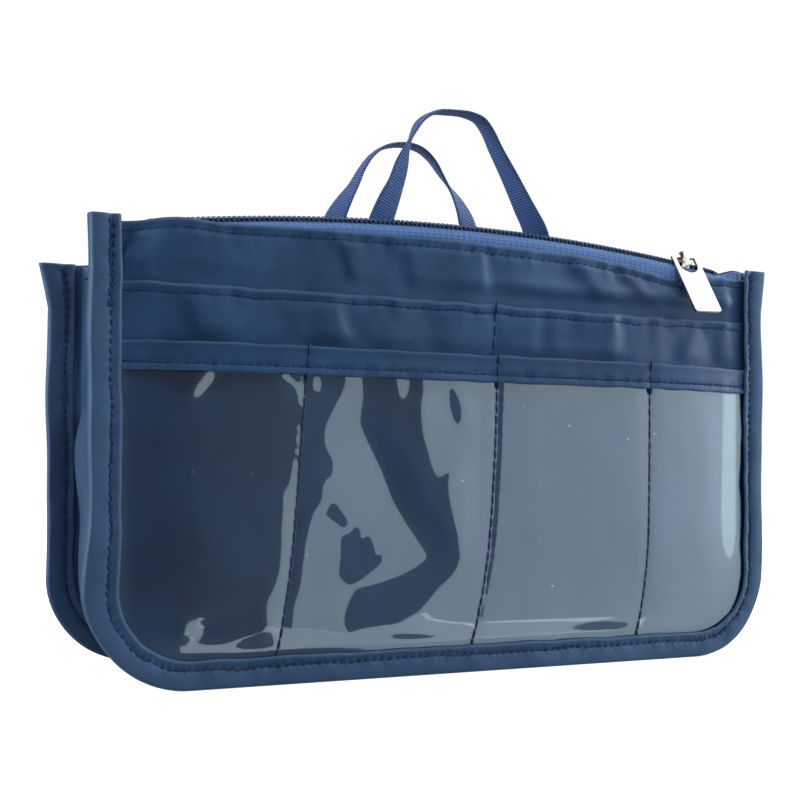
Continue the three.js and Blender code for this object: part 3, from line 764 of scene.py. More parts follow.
class RepeatedShape:
    """A Geometry Nodes tree that stands a small shape at every step along lines.

    The lines come as a mesh that carries their way up. The shape stands on each step with X along
    the line and Z up.
    """

    def __init__(self, name: str, material: Material, shape: Thing) -> None:
        """Build the tree.

        Args:
            name: name of the tree.
            material: material of the result.
            shape: the small shape, at its real size round the origin.
        """
        self.shape = shape
        self.tree = bpy.data.node_groups.new(name, "GeometryNodeTree")
        face = self.tree.interface
        face.new_socket(name="Lines", in_out="INPUT", socket_type="NodeSocketGeometry")
        self.sockets = {}
        kinds = {"Shape": "Object", "Pitch": "Float", "Size": "Float", "Slant": "Float",
                 "Wander": "Float"}
        for key, kind in kinds.items():
            socket = face.new_socket(name=key, in_out="INPUT", socket_type=f"NodeSocket{kind}")
            self.sockets[key] = socket.identifier
        face.new_socket(name="Shapes", in_out="OUTPUT", socket_type="NodeSocketGeometry")
        board = NodeBoard(self.tree)
        start = board.add("NodeGroupInput")
        lines = board.add("GeometryNodeMeshToCurve", {"Mesh": start.outputs["Lines"]})
        spacing = {"Curve": lines, "Length": start.outputs["Pitch"]}
        steps = board.add("GeometryNodeResampleCurve", spacing, mode="LENGTH")
        facing = self._facing(board, start)
        shown = board.add("GeometryNodeObjectInfo", {"Object": start.outputs["Shape"]})
        stand = {"Points": steps, "Instance": shown.outputs["Geometry"],
                 "Rotation": facing, "Scale": start.outputs["Size"]}
        copies = board.add("GeometryNodeInstanceOnPoints", stand)
        real = board.add("GeometryNodeRealizeInstances", {0: copies})
        dressed = board.add("GeometryNodeSetMaterial", {0: real, "Material": material})
        end = board.add("NodeGroupOutput")
        board.link(dressed, end.inputs[0])

    @staticmethod
    def _facing(board: NodeBoard, start: Node) -> Node:
        """Rotation of each instance: along its line, upright, slanted and a little uneven."""
        ahead = board.add("GeometryNodeInputTangent")
        way = {"Vector": ahead}
        turned = board.add("FunctionNodeAlignRotationToVector", way, axis="X")
        up = board.add("GeometryNodeInputNamedAttribute", {"Name": "up"}, data_type="FLOAT_VECTOR")
        way = {"Rotation": turned, "Vector": up}
        upright = board.add("FunctionNodeAlignRotationToVector", way, axis="Z", pivot_axis="X")
        chance = board.add("FunctionNodeRandomValue", data_type="FLOAT")
        board.link(board.math("MULTIPLY", start.outputs["Wander"], -1.0), chance.inputs[2])
        board.link(start.outputs["Wander"], chance.inputs[3])
        chance.inputs["Seed"].default_value = 7
        spin = board.math("ADD", start.outputs["Slant"], chance.outputs[1])
        angles = board.add("ShaderNodeCombineXYZ", {2: spin})
        euler = board.add("FunctionNodeEulerToRotation", {0: angles})
        both = {0: upright, 1: euler}
        return board.add("FunctionNodeRotateRotation", both, rotation_space="LOCAL")

    def along(self, name: str, lines: Sequence[tuple[Grid, Sequence[float]]], pitch: float,
              size: float = 1.0, slant: float = 0.0, wander: float = 0.06) -> Thing:
        """Stand the shape along some lines.

        Args:
            name: name of the piece.
            lines: for each line its points, in mm, and its way up.
            pitch: step between shapes, in mm.
            size: scale of the shape.
            slant: angle between the shape and its line, in radians.
            wander: most that a shape turns off that angle, in radians.

        Returns:
            A plain mesh object.
        """
        points = np.concatenate([line for line, _ in lines]) * MM
        ups = np.concatenate([np.broadcast_to(up, line.shape) for line, up in lines])
        edges, begin = [], 0
        for line, _ in lines:
            edges.extend((begin + k, begin + k + 1) for k in range(len(line) - 1))
            begin += len(line)
        mesh = bpy.data.meshes.new(f"{name}_lines")
        mesh.from_pydata(points.tolist(), edges, [])
        layer = mesh.attributes.new("up", "FLOAT_VECTOR", "POINT")
        layer.data.foreach_set("vector", ups.astype(np.float32).ravel())
        thing = placed(f"{name}_raw", mesh)
        modifier = thing.modifiers.new("repeat", "NODES")
        modifier.node_group = self.tree
        values = {"Shape": self.shape, "Pitch": pitch * MM, "Size": size, "Slant": slant,
                  "Wander": wander}
        for key, value in values.items():
            modifier[self.sockets[key]] = value
        return evaluated_copy(thing, name)


def bent_rod(name: str, centres: Grid, radii: Grid, sides: int = 6) -> Thing:
    """A closed rod along a line in the XZ or YZ plane, to be repeated.

    Args:
        name: name of the shape.
        centres: points along its middle, in mm.
        radii: its radius across and its radius up at each point, in mm.
        sides: number of sides.

    Returns:
        The new object.
    """
    ahead = unit(np.gradient(centres, axis=0))
    across = unit(np.cross(np.array([0.0, 0.0, 1.0]), ahead))
    up = np.cross(ahead, across)
    turns = TURN * np.arange(sides) / sides
    ring = across[:, None] * np.cos(turns)[None, :, None] * radii[:, :1, None]
    ring = ring + up[:, None] * np.sin(turns)[None, :, None] * radii[:, 1:, None]
    points = (centres[:, None] + ring).reshape(-1, 3)
    points = np.concatenate([points, centres[:1], centres[-1:]])
    count = len(centres)
    number = np.arange(count * sides).reshape(count, sides)
    beside = np.roll(number, -1, axis=1)
    faces = spots(number[:-1], beside[:-1], beside[1:], number[1:]).reshape(-1, 4).tolist()
    for row, tip, flip in ((0, count * sides, True), (-1, count * sides + 1, False)):
        for a, b in zip(number[row].tolist(), beside[row].tolist()):
            faces.append([b, a, tip] if flip else [a, b, tip])
    mesh = bpy.data.meshes.new(name)
    mesh.from_pydata((points * MM).tolist(), [], faces)
    mesh.update()
    return placed(name, mesh)


def thread_shape() -> Thing:
    """One stitch: a thread 2.7 mm long that dips into the cloth at both ends."""
    share = np.linspace(-1.0, 1.0, 7)
    zero = 0.0 * share
    centres = spots(1.35 * share, zero, 0.1 - 0.3 * share**4)
    radius = 0.3 * np.sqrt(np.maximum(1.0 - share**6, 0.04))
    return bent_rod("thread_shape", centres, spots(radius, 0.75 * radius))


def coil_shape(side: int) -> Thing:
    """One turn of the coil of the front (-1) or rear (1) row: a wire with a swollen head."""
    share = np.linspace(0.0, 1.0, 9)
    across = side * (-0.5 + 2.3 * share)
    lift = 0.3 * np.sin(np.pi * np.minimum(share * 1.15, 1.0)) - 0.12
    radius = 0.38 * (1.0 + 0.35 * bump(share - 0.16, 0.14))
    radius = radius * np.sqrt(np.maximum(1.0 - (2.0 * share - 1.0) ** 8, 0.03))
    centres = spots(0.0 * share, across, lift)
    return bent_rod(f"coil_shape_{side}", centres, spots(radius, 1.9 * radius), 8)


# Shape of the bag


@dataclass
class BagShape:
    """Sizes of the bag in mm, the same as in the CAD source, and the forms that follow."""

    width: float = 280.0
    front_height: float = 160.0
    rear_height: float = 157.0
    corner_radius: float = 34.0
    binding_width: float = 10.5
    binding_wall: float = 0.6
    ease: float = 0.25
    cloth: float = 0.6
    film: float = 0.4
    seam_tuck: float = 1.4
    flat_margin: float = 1.5
    belly: float = 4.6
    divider_belly: float = 3.0
    side_span: float = 64.0
    foot_span: float = 46.0
    mouth_depth: float = 40.0
    rear_bow: float = 22.0
    rear_bow_span: float = 95.0
    rear_bow_foot: float = 40.0
    slip_height: float = 138.0
    clear_height: float = 118.5
    trim_height: float = 10.0
    rear_pocket_height: float = 120.0
    zip_apex: float = 166.3
    zip_radius: float = 850.0
    zip_setback: float = 6.5
    zip_lean: float = math.radians(22.0)
    zip_end: float = 119.5
    fold_drop: float = 5.3
    slider_width: float = 7.6
    running_gap: float = 0.3
    tape: float = 0.5
    tape_drop: float = 11.0
    fold_stops: tuple = (
        (-140, 158), (-128, 158.3), (-122, 158.8), (-116, 160.1), (-110, 160.8),
        (-103, 160.7), (-96, 160.2), (-86, 160.4), (-74, 160.9), (-60, 161.2),
        (-38, 161.4), (-17, 161.6), (0, 161.4), (14, 161), (30, 160.5),
        (58, 159.3), (72, 157.5), (83, 155.7), (92, 154.3), (102, 154.7),
        (112, 155.7), (128, 156.5), (140, 156.8),
    )

    def __post_init__(self) -> None:
        """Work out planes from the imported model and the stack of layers."""
        self.half = 0.5 * self.width
        self.front_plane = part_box("front_binding")[0].y / MM
        self.rear_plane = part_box("rear_binding")[1].y / MM
        self.flat_edge = self.binding_width + self.flat_margin
        step = self.cloth + self.ease
        self.film_front = self.front_plane + self.binding_wall + self.ease
        self.slip_front = self.film_front + self.film + self.ease
        self.panel_front = self.slip_front + step
        self.divider_front = self.panel_front + step
        self.gusset_front = self.divider_front + step
        self.front_binding_rear = self.gusset_front + step + self.binding_wall
        self.rear_pocket_front = self.rear_plane - self.binding_wall - step
        self.rear_panel_front = self.rear_pocket_front - step
        self.gusset_rear = self.rear_panel_front - step
        self.rear_binding_front = self.gusset_rear - self.ease - self.binding_wall
        bend = 0.5 * self.slider_width + self.running_gap + self.tape
        self.tape_bend = bend
        self.zip_up = (0.0, -math.sin(self.zip_lean), math.cos(self.zip_lean))
        outer = (bend + self.tape) * math.cos(self.zip_lean)
        self.zip_y = self.front_plane + self.zip_setback
        self.front_tape_y = self.zip_y - outer - self.tape * math.sin(self.zip_lean)
        self.rear_tape_y = self.zip_y + outer - self.tape * math.sin(self.zip_lean)
        self.front_mouth = self.panel_front + step - self.front_tape_y
        self.rear_mouth = self.rear_tape_y + self.ease - self.divider_front
        self.mouth_span = self.half - self.flat_edge - self.zip_end

    def zip_height(self, x: Grid) -> Grid:
        """Height of the zip's arc."""
        return self.zip_apex - self.zip_radius + np.sqrt(self.zip_radius**2 - x**2)

    def fold_height(self, x: Grid) -> Grid:
        """Height of the divider's folded top edge."""
        return self.zip_height(x) - self.fold_drop

    def front_fold(self, x: Grid) -> Grid:
        """Height of the front panel's folded top edge, which the slider presses down."""
        return through(self.fold_stops, x)

    def side_share(self, x: Grid, span: float) -> Grid:
        """How freely a panel swells, away from its side seams."""
        return swell((self.half - self.flat_edge - np.abs(x)) / span)

    def foot_share(self, z: Grid, span: float) -> Grid:
        """How freely a panel swells, away from its bottom seam."""
        return swell((z - self.flat_edge) / span)

    def mouth_share(self, x: Grid) -> Grid:
        """How far the mouth opens at a place along the zip."""
        return smooth((self.half - self.flat_edge - np.abs(x)) / self.mouth_span)

    def mouth_rise(self, x: Grid, z: Grid) -> Grid:
        """How far up the mouth a point lies."""
        cover = self.tape_drop - self.fold_drop + self.tape
        return smooth((z - self.fold_height(x) + self.mouth_depth) / (self.mouth_depth - cover))

    def front_swell(self, x: Grid, z: Grid) -> Grid:
        """Forward swell of the front panel and its pockets."""
        belly = self.belly * self.side_share(x, self.side_span) * self.foot_share(z, self.foot_span)
        rise = self.mouth_rise(x, z)
        return belly * (1.0 - rise) + self.front_mouth * self.mouth_share(x) * rise

    def divider_swell(self, x: Grid, z: Grid) -> Grid:
        """Rearward swell of the divider."""
        belly = self.divider_belly * self.side_share(x, 55.0) * self.foot_share(z, 55.0)
        rise = self.mouth_rise(x, z)
        return belly * (1.0 - rise) + self.rear_mouth * self.mouth_share(x) * rise

    def rear_swell(self, x: Grid, z: Grid) -> Grid:
        """Forward bow of the rear panel's open edge."""
        climb = smooth((z - self.rear_bow_foot) / (self.rear_height - self.rear_bow_foot))
        return self.rear_bow * self.side_share(x, self.rear_bow_span) * climb

    def zip_point(self, along: Grid, across: Grid, out: Grid) -> Grid:
        """A point along the zip's arc, across it to the rear and out of its face, in mm."""
        angle = along / self.zip_radius
        radius = self.zip_radius + across * math.sin(self.zip_lean) + out * math.cos(self.zip_lean)
        y = self.zip_y + across * math.cos(self.zip_lean) - out * math.sin(self.zip_lean)
        z = self.zip_apex - self.zip_radius + radius * np.cos(angle)
        return spots(radius * np.sin(angle), y, z)


def panel_places(shape: BagShape, top: Curve, bottom: float | None, step: float) -> tuple[Grid, Grid]:
    """Places over a panel inside its outline.

    Args:
        shape: sizes of the bag.
        top: height of its upper edge at each x.
        bottom: height where it starts, or None for the bag's rounded bottom.
        step: spacing of the places, in mm.

    Returns:
        Grids of x and z, bottom row first.
    """
    radius = shape.corner_radius - shape.seam_tuck
    half = shape.half - shape.seam_tuck
    columns = np.linspace(-1.0, 1.0, int(2.0 * half / step) + 1)
    if bottom is None:
        angles = np.linspace(0.0, 0.5 * np.pi, int(0.5 * np.pi * radius / step) + 1)[:-1]
        halves = half - radius + radius * np.sin(angles)
        corner_x = halves[:, None] * columns[None, :]
        corner_z = (shape.corner_radius - radius * np.cos(angles))[:, None] + 0.0 * corner_x
        bottom = shape.corner_radius
    else:
        corner_x = corner_z = np.zeros((0, len(columns)))
    rows = np.linspace(0.0, 1.0, int((shape.front_height - bottom) / step) + 1)
    side_x = np.broadcast_to(half * columns, (len(rows), len(columns)))
    side_z = bottom + (top(side_x) - bottom) * rows[:, None]
    return np.concatenate([corner_x, side_x]), np.concatenate([corner_z, side_z])


def panel_sheet(name: str, places: tuple[Grid, Grid], surface: Surface, thickness: float,
                rearward: bool = True) -> Thing:
    """A sheet over a panel's places, behind the surface that gives Y there, or in front of it."""
    x, z = places
    front = spots(x, surface(x, z), z)
    away = normals_of(front)
    away *= np.sign(away[..., 1:2]) * (1.0 if rearward else -1.0)
    return closed_sheet(name, front, front + away * thickness, spots(x, z))


def level(height: float) -> Curve:
    """A straight edge at a height."""
    return lambda x: height + 0.0 * x


@dataclass
class SewnPart:
    """Base of every part: what it is made with, and how its pieces are made and sewn.

    Attributes:
        shape: sizes of the bag.
        wardrobe: every finish.
        stitches: the tree that lays stitches along lines.
    """

    shape: BagShape
    wardrobe: Wardrobe
    stitches: RepeatedShape

    def cloth(self, piece: Thing, node: str) -> Thing:
        """Finish a piece as nylon in place of a CAD node."""
        return finish_piece(piece, self.wardrobe.nylon, [node])

    def panel(self, name: str, node: str, face: Surface, top: Curve, step: float,
              bottom: float | None = None, rearward: bool = True) -> Thing:
        """A nylon panel; the values are those of panel_sheet and panel_places."""
        places = panel_places(self.shape, top, bottom, step)
        return self.cloth(panel_sheet(name, places, face, self.shape.cloth, rearward), node)

    def sew(self, name: str, lines: Sequence, pitch: float = STITCH_PITCH,
            slot: Slot = Slot.BINDING, **form: float) -> Thing:
        """Lay stitches along lines; form is what RepeatedShape.along takes besides."""
        return finish_piece(self.stitches.along(name, lines, pitch, **form), self.wardrobe.thread)


@dataclass
class SeamPath:
    """The outline of a seam: down the left side, round the bottom and up the right side."""

    shape: BagShape
    height: float
    step: float = 0.8

    def stations(self) -> SimpleNamespace:
        """Places along the outline.

        Returns:
            x, z: the outline; nx, nz: the direction inwards; s: length along it, in mm.
        """
        radius = self.shape.corner_radius
        inner = self.shape.half - radius
        climb = np.arange(self.height, radius, -self.step)
        left = [(-self.shape.half, z, 1.0, 0.0) for z in climb]
        angles = np.linspace(0.0, 0.5 * np.pi, int(0.5 * np.pi * radius / self.step) + 1)
        corner = [
            (-inner - radius * math.cos(a), radius - radius * math.sin(a), math.cos(a), math.sin(a))
            for a in angles
        ]
        bottom = [(x, 0.0, 0.0, 1.0) for x in np.arange(-inner + self.step, 0.0, self.step)]
        half = left + corner + bottom
        mirrored = [(-x, z, -nx, nz) for x, z, nx, nz in reversed(half)]
        x, z, nx, nz = np.array(half + [(0.0, 0.0, 0.0, 1.0)] + mirrored).T
        s = np.concatenate([[0.0], np.cumsum(np.hypot(np.diff(x), np.diff(z)))])
        return SimpleNamespace(x=x, z=z, nx=nx, nz=nz, s=s - 0.5 * s[-1])


@dataclass(frozen=True)
class Facet:
    """A patch of the clear film that leans to one side.

    Attributes:
        corners: x and z of each corner in turn, in tenths of a mm.
        lean: how far it faces to the left, in degrees; less than 0 to the right.
        edge: width over which it eases off, in mm.
    """

    corners: tuple
    lean: float
    edge: float = 1.2

    def share(self, x: Grid, z: Grid) -> Grid:
        """1 inside the outline and 0 outside, eased across the edge."""
        points = np.array(self.corners, dtype=float).reshape(-1, 2) / 10.0
        nearest = np.full(x.shape, 1e9)
        inside = np.zeros(x.shape, dtype=bool)
        for (ax, az), (bx, bz) in zip(points, np.roll(points, -1, axis=0)):
            dx, dz = bx - ax, bz - az
            t = clamp01(((x - ax) * dx + (z - az) * dz) / (dx * dx + dz * dz))
            nearest = np.minimum(nearest, np.hypot(x - ax - t * dx, z - az - t * dz))
            crosses = (az > z) != (bz > z)
            rise = dz if dz else 1e-9
            inside ^= crosses & (x < ax + (z - az) * dx / rise)
        return smooth(0.5 + np.where(inside, nearest, -nearest) / self.edge)


# Patches of the film that lean: the winding dent first, then the smaller dimples. Each has the x
# and z of its corners in tenths of a mm, then its lean in degrees and the width of its edge in mm
FACETS = (
    Facet((-453, 1111, -445, 1023, -461, 916, -422, 845, -372, 757, -332, 649, -285, 577, -233, 504, -193,
        460, -144, 408, -62, 405, -54, 435, -62, 472, -82, 538, -103, 594, -119, 649, -124, 703, -107, 762,
        -136, 747, -160, 736, -185, 751, -201, 787, -205, 823, -225, 866, -233, 939, -233, 993, -221, 1048,
        -233, 1120, -269, 1119, -277, 1035, -301, 1006, -324, 1027, -336, 1116), 7, 1.6),
    Facet((-430, 917, -383, 907, -313, 847, -257, 729, -193, 631, -124, 539, -103, 473, -152, 466, -217,
        533, -281, 613, -344, 721, -399, 828), 9, 3),
    Facet((-193, 460, -193, 431, -241, 403, -305, 376, -368, 356, -445, 337, -476, 331, -488, 303, -507,
        244, -507, 205, -484, 183, -387, 182, -324, 186, -269, 212, -221, 232, -176, 285, -152, 320, -99,
        362, -62, 402, -107, 436), 5, 1.6),
    Facet((-545, 516, -511, 526, -488, 526, -480, 568, -468, 543, -461, 508, -430, 525, -414, 507, -399,
        453, -375, 467, -364, 445, -379, 417, -414, 393, -453, 366, -491, 346, -522, 361, -545, 386, -537,
        439, -537, 491), 2.6),
    Facet((-605, 598, -579, 636, -552, 636, -533, 611, -503, 579, -522, 555, -552, 573, -579, 583), 2),
    Facet((-655, 1103, -522, 1109, -522, 1066, -533, 1027, -567, 966, -597, 913, -605, 871, -594, 825,
        -567, 798, -564, 756, -571, 731, -605, 720, -612, 685, -616, 650, -631, 622, -650, 598, -668, 563,
        -687, 529, -694, 494, -694, 390, -694, 356, -711, 311, -703, 443, -688, 581, -674, 720, -663, 859,
        -655, 999), 2.6),
    Facet((-642, 1072, -627, 1080, -612, 1066, -609, 1046, -620, 1028, -635, 1031, -646, 1051), -14),
    Facet((-760, 682, -683, 689, -690, 598, -709, 443, -723, 305, -731, 180, -789, 176, -818, 171, -792,
        197, -810, 256, -810, 308, -789, 334, -763, 385, -756, 427, -760, 496, -763, 547, -756, 616), -7),
    Facet((-753, 1099, -727, 1076, -687, 1050, -657, 1041, -657, 1006, -679, 1022, -716, 1045, -767, 1071),
        -10),
    Facet((-1074, 1006, -1050, 1051, -1015, 1086, -984, 1080, -987, 1056, -1015, 1025, -1039, 994, -1067,
        990), -24),
    Facet((-1097, 211, -1077, 234, -1043, 236, -1012, 218, -1019, 194, -1050, 186, -1084, 191), -34),
    Facet((-119, 1059, -103, 1066, -87, 1045, -70, 1009, -58, 943, -87, 916, -107, 949, -119, 1007), 6.5),
)


class FilmRelief:
    """The film's soft dents: the surface whose slopes come nearest to the facets' leans.

    Each row of a pocket starts and ends level, so what the facets leave over is spread evenly
    over the rest of the row.
    """

    reach = 200
    stiffness = 0.2

    def __init__(self, facets: Sequence[Facet], borders: Sequence[Curve]) -> None:
        """Work out the heights on a grid of 1 mm.

        Args:
            facets: the leaning patches.
            borders: x of each pocket border at each height, from left to right.
        """
        line = np.arange(-self.reach, self.reach, dtype=float)
        x, z = np.meshgrid(line, line + 60.0)
        slope = np.zeros(x.shape)
        free = np.ones(x.shape)
        for facet in facets:
            share = facet.share(x, z)
            slope = slope + math.tan(math.radians(facet.lean)) * share
            free = free * (1.0 - share)
        for left, right in zip(borders, borders[1:]):
            pocket = (x > left(z)) & (x < right(z))
            spare = free * pocket + 1e-6 * pocket
            rest = (slope * pocket).sum(axis=1) / np.maximum(spare.sum(axis=1), 1e-6)
            slope = slope - spare * rest[:, None]
        slope = slope * ((x > borders[0](z)) & (x < borders[-1](z)))
        rate = TURN * np.fft.fftfreq(len(line))
        along, up = np.meshgrid(rate, rate)
        size = along**2 + self.stiffness * up**2
        size[0, 0] = 1.0
        wave = -1j * along * np.fft.fft2(slope) / size
        self.height = np.real(np.fft.ifft2(wave))

    def at(self, x: Grid, z: Grid) -> Grid:
        """Height at each place, in mm."""
        column = np.clip(x + self.reach, 0.0, 2.0 * self.reach - 2.0)
        row = np.clip(z - 60.0 + self.reach, 0.0, 2.0 * self.reach - 2.0)
        i, j = column.astype(int), row.astype(int)
        a, b = column - i, row - j
        h = self.height
        low = h[j, i] * (1.0 - a) + h[j, i + 1] * a
        high = h[j + 1, i] * (1.0 - a) + h[j + 1, i + 1] * a
        return low * (1.0 - b) + high * b


@dataclass
class FrontStack(SewnPart):
    """Front panel, slip pocket, clear pocket and trim, and what the sewing does to them."""

    # Vertical seams: x at the top of the clear pocket, x at its foot, bend, and top height
    seams = ((-66.0, -75.0, 1.1, 118.5), (9.0, 2.0, 1.7, 138.0), (77.8, 76.3, 2.6, 118.5))
    seam_tilt = 0.09
    seam_pinch = 0.4
    seam_reach = 1.8
    hem_roll = 0.75
    fold_anchor = 134.0
    film_crown = 1.9
    film_roll = 1.3
    film_softness = 0.35
    film_sink = 0.24

    upper_folds = (
        Fold(-125, 152, 60, 30, 1.6, 2.97, 3),
        Fold(-98, 150, 90, 60, 14, 1.22, 1.2),
        Fold(-48, 151, 106, 18, 2, 1.22, 6),
        Fold(-21, 146, 100, 26, 4, 1.22, 4),
        Fold(5, 149, -90, 36, 3, 1.49, 5),
        Fold(20, 149, 90, 36, 7, 1.35, 3),
        Fold(54, 151, 128, 34, 4.6, 1.9, 2.6),
        Fold(76, 149, 132, 30, 3.2, 1.5, 2.6),
        Fold(92, 148, 128, 24, 4, 1.3, 2.4),
        Fold(118, 151, 96, 22, 3.5, 1.35, 2),
    )
    slip_folds = (
        Fold(-104, 127, 112, 20, 2.6, 1.35, 5),
        Fold(-67, 128, 90, 20, 5, 1.08, 3),
        Fold(-54, 128, -70, 20, 2.8, 1.35, 4),
        Fold(-39, 126, 106, 20, 5, 1.08, 3),
        Fold(-12, 128, 84, 20, 5, 0.94, 3),
        Fold(24, 125, -90, 20, 4.6, 1.22, 2.2),
        Fold(36, 125, 90, 20, 5, 1.08, 3),
        Fold(61, 128, -90, 22, 5.2, 1.49, 2.2),
        Fold(101, 127, 62, 18, 4, 1.22, 2.5),
        Fold(118, 128, 100, 18, 4, 1.08, 2),
    )

    def __post_init__(self) -> None:
        """Pick the waves and work out the film's dents."""
        self.broad = Ripple(11, 34.0, 2.2)
        self.fine = Ripple(12, 15.0)
        self.soft = Ripple(14, 14.0, 2.4)
        self.gathers = Ripple(13, 9.0)
        self.film_wave = Ripple(21, 70.0, 1.6)
        edge = self.shape.half - self.shape.binding_width

        def border(seam: tuple) -> Curve:
            """Place of a vertical seam, as a function of the height."""
            return lambda z: self.seam_x(seam, z)

        self.relief = FilmRelief(FACETS, [level(-edge), *map(border, self.seams), level(edge)])

    def seam_x(self, seam: tuple, z: Grid) -> Grid:
        """Place across the bag of a vertical seam at each height."""
        top, foot, bend, _ = seam
        above = np.maximum(z - self.shape.clear_height, 0.0)
        share = clamp01((self.shape.clear_height - z) / (self.shape.clear_height - 10.5))
        return top + (foot - top) * share**bend + self.seam_tilt * above

    def taut(self, x: Grid, z: Grid) -> Grid:
        """Forward offset of a taut layer over the swell, in mm."""
        offset = self.shape.front_swell(x, z)
        for seam in self.seams:
            away = np.abs(x - self.seam_x(seam, z))
            held = smooth((seam[3] + 4.0 - z) / 8.0) * self.shape.foot_share(z, 12.0)
            offset = offset - self.seam_pinch * held * np.exp(-away / self.seam_reach)
        return offset

    def sewn(self, x: Grid, z: Grid) -> Grid:
        """Forward offset that the cloth layers share, in mm."""
        free = self.shape.side_share(x, 20.0) * self.shape.foot_share(z, 14.0)
        calm = 1.0 - 0.7 * self.shape.mouth_rise(x, z)
        wave = 0.6 * self.broad.at(x, z) + 0.16 * self.soft.at(x, z)
        return self.taut(x, z) + free * calm * wave

    def film_lift(self, x: Grid, z: Grid) -> Grid:
        """How far the clear film stands off the cloth behind it, in mm."""
        free = self.shape.side_share(x, 30.0) * self.shape.foot_share(z, 36.0)
        pinned, pucker = 1.0, 0.0
        for seam in self.seams:
            away = x - self.seam_x(seam, z)
            free = free * (1.0 - (0.1 if seam[0] > 0.0 else 0.0) * bump(away, 9.0))
            pinned = pinned * (1.0 - 0.9 * bump(away, 2.0))
            pucker = pucker + np.cos(TURN * z / 4.2 + 0.6 * away) * bump(away, 1.2)
        pinned = pinned * self.shape.side_share(x, 6.0) * self.shape.foot_share(z, 3.0)
        pinned = pinned * smooth((self.shape.clear_height - 2.0 - z) / 5.0)
        pinned = pinned * smooth((self.seam_x(self.seams[1], z) - x) / 14.0)
        roll = self.film_roll * self.shape.side_share(x, 30.0) * self.shape.foot_share(z, 9.0)
        crown = roll + free * (self.film_crown + 0.12 * self.film_wave.at(x, z) + 0.07 * pucker)
        lift = (crown + pinned * self.relief.at(x, z)) / self.film_softness
        return self.film_softness * np.logaddexp(0.0, lift) - self.film_sink

    def film_face(self, x: Grid, z: Grid) -> Grid:
        """Y of the clear film's front face, in mm."""
        return self.shape.film_front - self.taut(x, z) - self.film_lift(x, z)

    def hem(self, x: Grid, below: Grid) -> Grid:
        """Forward offset of a rolled and gathered hem at a distance below its edge, in mm."""
        roll = self.hem_roll * np.sqrt(clamp01(1.0 - ((below - 1.1) / 1.4) ** 2))
        away = below - HEM_DROP
        gather = 0.3 * self.gathers.at(x, 0.0 * x) * bump(away, 3.6)
        pucker = 0.14 * np.cos(TURN * (x + 0.6 * away) / STITCH_PITCH) * bump(away - 0.7, 1.5)
        return roll - 0.4 * bump(away, 0.65) + gather + pucker

    def slip_face(self, x: Grid, z: Grid) -> Grid:
        """Y of the slip pocket's front face, in mm."""
        top = self.slip_top(x)
        above = smooth((z - 119.0) / 5.0)
        gape = 1.9 * bump(x - 50.0, 30.0) * smooth((z - 124.0) / 12.0)
        offset = self.sewn(x, z) + above * (lifted(self.slip_folds, x, z) + gape)
        offset = offset + above * self.shape.side_share(x, 12.0) * self.hem(x, top - z)
        return self.shape.slip_front - offset

    def slip_top(self, x: Grid) -> Grid:
        """Height of the slip pocket's top edge."""
        sag = bump(x - 58.0, 40.0)
        return self.shape.slip_height + 0.3 - sag + 0.25 * self.fine.at(x, 0.0 * x)

    def upper_face(self, x: Grid, z: Grid) -> Grid:
        """Y of the front panel's face above the slip pocket, in mm."""
        free = smooth((z - 141.0) / 6.0)
        sag = 2.4 * smooth((x + 20.0) / 60.0) * self.shape.side_share(x, 16.0) * bump(z - 144.5, 5.0)
        below = self.shape.front_fold(x) - z
        hem = self.hem(x, below) * self.shape.side_share(x, 10.0)
        folds = lifted(self.upper_folds, x, z) * smooth((below - 1.5) / 4.0)
        offset = self.sewn(x, z) + free * (folds + sag * smooth(below / 8.0)) + hem
        return self.shape.panel_front - offset

    def panel_face(self, x: Grid, z: Grid) -> Grid:
        """Y of the front panel's face behind the pockets, in mm."""
        return self.shape.panel_front - self.sewn(x, z)

    def build(self) -> None:
        """Make the pieces and their stitching."""
        shape = self.shape
        overlap = level(self.fold_anchor + 3.0)
        self.panel("front_panel_lower", "front_panel", self.panel_face, overlap, 3.2)
        high = self.panel("front_panel_upper", "front_panel", self.upper_face, shape.front_fold, 1.1,
                          self.fold_anchor)
        self.panel("slip_pocket", "front_slip_pocket", self.slip_face, self.slip_top, 1.3)
        places = panel_places(shape, level(shape.clear_height - 0.8), None, 1.3)
        film = panel_sheet("clear_film", places, self.film_face, shape.film)
        finish_piece(film, self.wardrobe.film, ["clear_pocket"])
        self.trim()
        self.squash_with_slider(high)
        self.stitching()

    def trim_face(self, x: Grid, z: Grid) -> Grid:
        """Y of the trim band's front face, in mm."""
        above_foot = z - (self.shape.clear_height - self.shape.trim_height)
        gather = 0.2 * self.gathers.at(x, 0.0 * x + 60.0) * bump(above_foot - 3.0, 2.6)
        turns = (x - 0.6 * above_foot) / STITCH_PITCH
        pucker = 0.12 * np.cos(TURN * turns) * bump(above_foot - 2.4, 1.3)
        edge = 0.4 * bump(above_foot - 1.0, 1.0) - 0.4 * bump(above_foot - 3.0, 0.6)
        edge = edge + gather + pucker
        top = 0.4 * bump(self.shape.clear_height - z - 0.8, 1.0)
        return self.film_face(x, z) - self.shape.ease - 0.5 - edge - top

